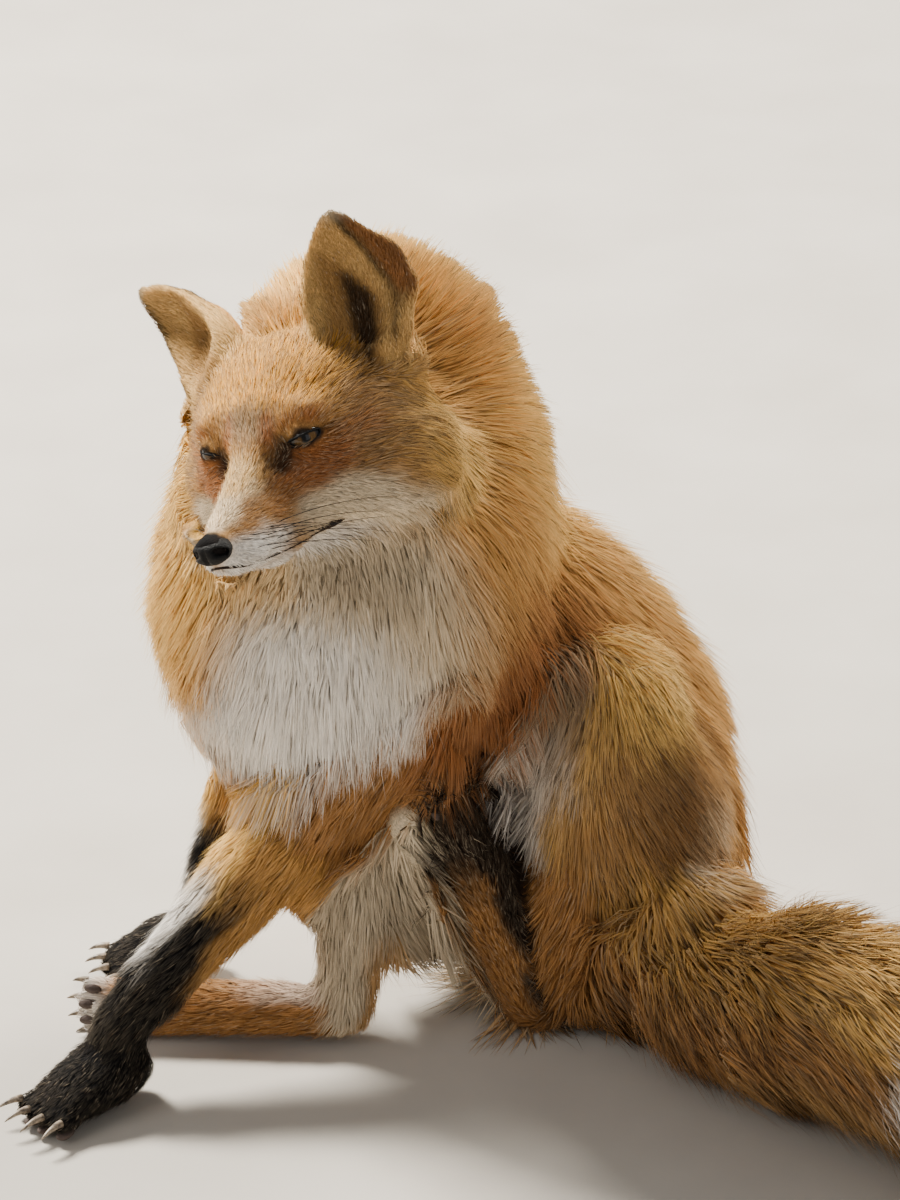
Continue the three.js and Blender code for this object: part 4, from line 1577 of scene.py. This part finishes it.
class FOX_OT_eyes(bpy.types.Operator):
    """Model the eyeballs, with iris and pupil, and their dark lid rims"""

    bl_idname = "fox.eyes"
    bl_label = "Eyes"

    def execute(self, context):
        hues = palette()
        material = eye_material()
        rim_material = leather_material("lid rim", tuple(hues["soot"] * 0.3), 0.75, 900.0)
        for side, name in ((-1, "left"), (1, "right")):
            eye = self.eyeball(side, f"eyeball_{name}", hues)
            finish_piece(eye, material)
            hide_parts(f"eye_{name}")
            rim = self.rim(side, f"lid_rim_{name}")
            finish_piece(rim, rim_material)
        return {"FINISHED"}

    def eyeball(self, side, name, hues):
        """A ball with a clear bulge, tinted from the pupil outwards, with a painted shadow of the
        upper lid over its top.
        """
        deselect()
        bpy.ops.mesh.primitive_uv_sphere_add(segments=64, ring_count=40, radius=EYE_RADIUS * MM)
        piece = bpy.context.object
        piece.name = piece.data.name = name
        rays = unit(places_of(piece.data))
        gaze, _, rise = eye_axes(side)
        turn = np.stack([np.cross(rise, gaze), rise, gaze])
        angle = np.arccos(np.clip(rays[:, 2], -1, 1))
        bulge = 0.7 * (1 - smooth(angle, 0.15, 0.72))
        places = (rays * (EYE_RADIUS + bulge)[:, None]) @ turn + eye_middle(side)
        place_all(piece.data, from_head(places))
        slit = np.hypot(rays[:, 0] * 1.35, rays[:, 1])
        colour = np.tile(hues["iris"], (len(rays), 1))
        colour = mixed(colour, hues["iris"] * 1.5, (1 - smooth(angle, 0.22, 0.45)) * 0.5)
        colour = mixed(colour, hues["soot"] * 0.3, 1 - smooth(slit, 0.27, 0.34))
        # Painted shadow of the upper lid: the top of the eyeball darkened.
        colour = mixed(colour, hues["soot"] * 0.3, smooth(rays[:, 1], 0.02, 0.2) * 0.8)
        colour = mixed(colour, hues["soot"] * 0.4, smooth(angle, 0.56, 0.68))
        write_tint(piece.data, colour)
        shade_smooth(piece.data)
        return piece

    def rim(self, side, name):
        """A thin dark roll along both lids, drawn out at the inner corner."""
        gaze, corner, rise = eye_axes(side)
        line = []
        for step in range(48):
            turn = step / 48 * 2 * math.pi
            lower = math.sin(turn) < 0
            power = 2 / FLATNESS[lower]
            out = math.copysign(abs(math.cos(turn)) ** power, math.cos(turn)) * SLIT_HALF_WIDTH
            lift = math.copysign(abs(math.sin(turn)) ** power, math.sin(turn)) * SLITS[side][lower]
            out *= 1.2 if out < 0 else 1.02
            ray = unit(gaze + corner * math.tan(out) + rise * math.tan(lift) / math.cos(out))
            line.append(from_head(eye_middle(side) + ray * (EYE_RADIUS + 0.3)))
        radii = [RIM * (1 + 0.4 * math.sin(step / 48 * 2 * math.pi)) for step in range(48)]
        return tube(name, line, radii, closed=True)


def tube(name, line, radii, closed=False, sides=8):
    """A round-sided piece that follows a line, with a radius at each place."""
    deselect()
    curve = bpy.data.curves.new(name, "CURVE")
    curve.dimensions = "3D"
    curve.bevel_depth = MM
    curve.bevel_resolution = max(sides // 2 - 2, 0)
    curve.use_fill_caps = not closed
    spline = curve.splines.new("POLY")
    spline.points.add(len(line) - 1)
    for point, place, radius in zip(spline.points, line, radii):
        point.co = (*(Vector(place) * MM), 1)
        point.radius = radius
    spline.use_cyclic_u = closed
    piece = bpy.data.objects.new(name, curve)
    bpy.context.scene.collection.objects.link(piece)
    pick(piece)
    bpy.ops.object.convert(target="MESH")
    piece = bpy.context.object
    all_faces(bpy.ops.mesh.remove_doubles, threshold=0.005 * MM)
    all_faces(bpy.ops.mesh.normals_make_consistent, inside=False)
    shade_smooth(piece.data)
    return piece


class FOX_OT_nose(bpy.types.Operator):
    """Model the nose pad and the dark lips"""

    bl_idname = "fox.nose"
    bl_label = "Nose and lips"

    def execute(self, context):
        hues = palette()
        black = tuple(hues["soot"] * 0.18)
        pad = self.pad()
        finish_piece(pad, leather_material("nose leather", black, 0.6, 900.0))
        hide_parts("nose")
        lips = self.lips()
        brown = tuple(hues["umber"] * 0.35)
        finish_piece(lips, leather_material("lip", brown, 0.6, 1200.0))
        return {"FINISHED"}

    def pad(self):
        piece = merged_copy("nose")
        piece.name = piece.data.name = "nose_pad"
        apply_modifier(piece, "REMESH", mode="VOXEL", voxel_size=0.7 * MM)
        net = Net(piece.data)
        places = net.evened(places_of(piece.data), 10)
        local = to_head(places)
        local[:, 2] = -38 + (local[:, 2] + 38) * 0.84
        local = self.nostrils(local)
        place_all(piece.data, from_head(net.evened(local, 2)))
        shade_smooth(piece.data)
        return piece

    def nostrils(self, local):
        """Presses in the two comma-shaped nostrils and the groove between them."""
        for side in (-1, 1):
            hole = capsule(local, (side * 4.6, 84, -28), (side * 8.5, 77, -30.5), 2.3)
            local = local - np.array([side * 0.2, 1.0, 0]) * (hole * 4.0)[:, None]
        groove = (1 - smooth(np.abs(local[:, 0]), 0.3, 1.3)) * smooth(-local[:, 2], 26, 31)
        depth = groove * 1.2 * smooth(local[:, 1], 76, 80)
        return local - np.array([0, 1.0, 0]) * depth[:, None]

    def lips(self):
        """One dark line from corner to corner of the mouth, sunk in the fur."""
        skin = Made.skin
        tree = tree_of(skin.outline - skin.normals * 0.6, skin.triangles)
        line = []
        sides = [(-x, y, z) for x, y, z in reversed(LIP_LINE)] + LIP_LINE
        for x, y, z in sides:
            line.append(tree.find_nearest(from_head(np.array([x, y, z])).tolist())[0])
        line = resampled(line, 60)
        share = np.abs(np.linspace(-1, 1, 60))
        radii = 0.65 - 0.25 * smooth(share, 0.2, 0.4) + 1.1 * smooth(share, 0.8, 0.93)
        radii = np.maximum(radii - 1.3 * smooth(share, 0.94, 1.0), 0.15)
        return tube("lips", line, radii)


def resampled(line, count):
    """The same path with evenly spaced places, smoothed."""
    line = np.array(line, float)
    steps = np.concatenate([[0], np.cumsum(np.linalg.norm(np.diff(line, axis=0), axis=1))])
    at = np.linspace(0, steps[-1], count)
    path = np.stack([np.interp(at, steps, line[:, axis]) for axis in range(3)], 1)
    for _ in range(4):
        path[1:-1] = (path[:-2] + 2 * path[1:-1] + path[2:]) / 4
    return path


class FOX_OT_claws(bpy.types.Operator):
    """Model the claws and the toe pads"""

    bl_idname = "fox.claws"
    bl_label = "Claws and pads"

    def execute(self, context):
        horn = horn_material(linear(176, 160, 140), linear(70, 60, 52))
        leather = leather_material("paw pad", linear(70, 60, 56), 0.6, 700.0)
        for paw in PAWS:
            claws = joined([self.claw(paw, toe) for toe in range(4)], f"claws_{paw}")
            finish_piece(claws, horn)
            toe_pads = [self.pad(paw, toe) for toe in range(4)]
            pads = joined(toe_pads + [self.sole(paw)], f"pads_{paw}")
            finish_piece(pads, leather)
        return {"FINISHED"}

    def claw(self, paw, toe):
        """A curved, pointed claw from inside the toe."""
        place, splay, top = toe_places(paw)[toe]
        length = PAWS[paw][4]
        line, radii = [], []
        for step in range(9):
            t = step / 8
            reach = 8 + (length + 1) * t
            line.append(place + splay * reach + top * (2.2 + 2.2 * t - 4.6 * t * t))
            radii.append(2.0 * (1 - t) ** 0.7 + 0.12)
        for place, radius in zip(line, radii):
            place[2] = max(place[2], radius + FLOOR_CLEARANCE)
        return tube("claw", line, radii, sides=10)

    def pad(self, paw, toe):
        place, splay, top = toe_places(paw)[toe]
        sizes = (3.6, 6.0, 2.6) if paw.startswith("forepaw") else (2.8, 4.6, 2.2)
        return cushion(place + splay * 5 - top * PAWS[paw][3] * 0.13, splay, top, sizes)

    def sole(self, paw):
        toes = toe_places(paw)
        place = sum(toe[0] for toe in toes) / 4
        ahead = unit(sum(toe[1] for toe in toes))
        top = toes[0][2]
        return cushion(place - ahead * 13 - top * PAWS[paw][3] * 0.19, ahead, top, (8.5, 7.0, 3.0))


def cushion(place, ahead, top, sizes):
    """A rounded pad, flattened on its underside."""
    deselect()
    bpy.ops.mesh.primitive_uv_sphere_add(segments=20, ring_count=12, radius=1)
    piece = bpy.context.object
    rays = places_of(piece.data) * MM
    rays[:, 2] = np.where(rays[:, 2] < 0, -np.abs(rays[:, 2]) ** 1.4, rays[:, 2])
    side = np.cross(ahead, top)
    places = place + (rays * sizes) @ np.stack([side, ahead, top])
    places[:, 2] = np.maximum(places[:, 2], FLOOR_CLEARANCE)
    place_all(piece.data, places)
    shade_smooth(piece.data)
    return piece


def joined(pieces, name):
    deselect()
    for piece in pieces:
        piece.select_set(True)
    bpy.context.view_layer.objects.active = pieces[0]
    bpy.ops.object.join()
    piece = bpy.context.object
    piece.name = piece.data.name = name
    return piece


class FOX_OT_whiskers(bpy.types.Operator):
    """Model the long dark whiskers of both lips"""

    bl_idname = "fox.whiskers"
    bl_label = "Whiskers"

    def execute(self, context):
        rng = np.random.default_rng(SEED)
        hues = palette()
        material = leather_material("whisker", tuple(hues["soot"] * 0.5), 0.4, 900.0)
        for side, name in ((-1, "left"), (1, "right")):
            roots = [root for root in whisker_roots() if rng.random() < 0.65]
            hairs = [self.hair(root * [side, 1, 1], side, rng) for root in roots]
            finish_piece(joined(hairs, f"whiskers_{name}"), material)
        return {"FINISHED"}

    def hair(self, root, side, rng):
        back = np.clip((66 - root[1]) / 30, 0.1, 1)
        length = 12 + 74 * back * rng.uniform(0.5, 1.0)
        way = unit([side * (0.7 - 0.2 * back), -0.66, 0.04 + rng.normal() * 0.12])
        line, radii = [], []
        for step in range(11):
            t = step / 10
            drop = np.array([0, 0, -0.22]) * length * t * t
            line.append(from_head(root - way * 1.5 + way * length * t + drop))
            radii.append(0.23 * (1 - t) ** 0.8 + 0.03)
        return tube("whisker", line, radii, sides=6)


class FOX_OT_stage(bpy.types.Operator):
    """Lay the pale floor and set the camera and the soft lights"""

    bl_idname = "fox.stage"
    bl_label = "Stage"

    def execute(self, context):
        self.floor()
        self.camera(context.scene.fox_stage)
        self.lights()
        return {"FINISHED"}

    def floor(self):
        deselect()
        bpy.ops.mesh.primitive_plane_add(size=FLOOR_SIZE)
        floor = bpy.context.object
        floor.name = floor.data.name = "floor"
        floor.data.materials.append(floor_material())

    def camera(self, settings):
        target = Vector(CAMERA_TARGET) * MM
        back = Vector((0, -math.cos(settings.elevation), math.sin(settings.elevation)))
        data = bpy.data.cameras.new("camera")
        data.sensor_width = 36
        data.lens = settings.lens
        data.clip_start, data.clip_end = 0.1, 50
        camera = bpy.data.objects.new("camera", data)
        camera.location = target + back * settings.distance
        camera.rotation_euler = (-back).to_track_quat("-Z", "Y").to_euler()
        bpy.context.scene.collection.objects.link(camera)
        bpy.context.scene.camera = camera

    def lights(self):
        world = bpy.data.worlds.new("studio")
        bpy.context.scene.world = world
        world.use_nodes = True
        background = world.node_tree.nodes["Background"]
        background.inputs["Color"].default_value = (1.0, 0.98, 0.95, 1)
        background.inputs["Strength"].default_value = 0.25
        for name, place, size, power, colour in LIGHTS:
            data = bpy.data.lights.new(name, "AREA")
            data.size = size
            data.energy = power
            data.color = colour
            light = bpy.data.objects.new(name, data)
            light.location = place
            aim = Vector(LIGHTS_TARGET) - Vector(place)
            light.rotation_euler = aim.to_track_quat("-Z", "Y").to_euler()
            bpy.context.scene.collection.objects.link(light)


CAMERA_TARGET = (-79.3, 0, 216.5)
LIGHTS_TARGET = (-0.08, -0.05, 0.2)  # in metres
FLOOR_SIZE = 14  # in metres

# Lights: name, place in metres, size, power in watts, colour.
LIGHTS = [
    ("key", (-1.8, 1.5, 2.6), 0.8, 380, (1.0, 0.95, 0.86)),
    ("front left", (-2.4, -1.6, 2.0), 1.6, 22, (1.0, 0.98, 0.95)),
    ("front right", (1.6, -3.0, 1.8), 2.2, 13, (0.97, 0.98, 1.0)),
    ("back right", (1.9, 1.6, 2.2), 1.2, 130, (1.0, 0.95, 0.86)),
]


class FOX_PT_panel(bpy.types.Panel):
    """Lists the steps that make the fox"""

    bl_idname = "FOX_PT_panel"
    bl_label = "Sitting Fox"
    bl_space_type = "VIEW_3D"
    bl_region_type = "UI"
    bl_category = "Fox"

    def draw(self, context):
        for group in (context.scene.fox_coat, context.scene.fox_stage, context.scene.fox_colours):
            box = self.layout.box()
            for name in group.bl_rna.properties.keys():
                if name not in ("rna_type", "name"):
                    box.prop(group, name)
        for step in STEPS:
            self.layout.operator(step.bl_idname)


STEPS = (
    FOX_OT_stage,
    FOX_OT_skin,
    FOX_OT_eyes,
    FOX_OT_nose,
    FOX_OT_claws,
    FOX_OT_whiskers,
    FOX_OT_coat,
)
CLASSES = (FoxColours, FoxCoat, FoxStage, *STEPS, FOX_PT_panel)


def register():
    for made in CLASSES:
        bpy.utils.register_class(made)
    bpy.types.Scene.fox_colours = bpy.props.PointerProperty(type=FoxColours)
    bpy.types.Scene.fox_coat = bpy.props.PointerProperty(type=FoxCoat)
    bpy.types.Scene.fox_stage = bpy.props.PointerProperty(type=FoxStage)


def unregister():
    del bpy.types.Scene.fox_colours
    del bpy.types.Scene.fox_coat
    del bpy.types.Scene.fox_stage
    for made in reversed(CLASSES):
        bpy.utils.unregister_class(made)


def main():
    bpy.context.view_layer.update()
    register()
    bpy.ops.fox.stage()
    bpy.ops.fox.skin()
    bpy.ops.fox.eyes()
    bpy.ops.fox.nose()
    bpy.ops.fox.claws()
    bpy.ops.fox.whiskers()
    bpy.ops.fox.coat()


if __name__ == "__main__":
    main()
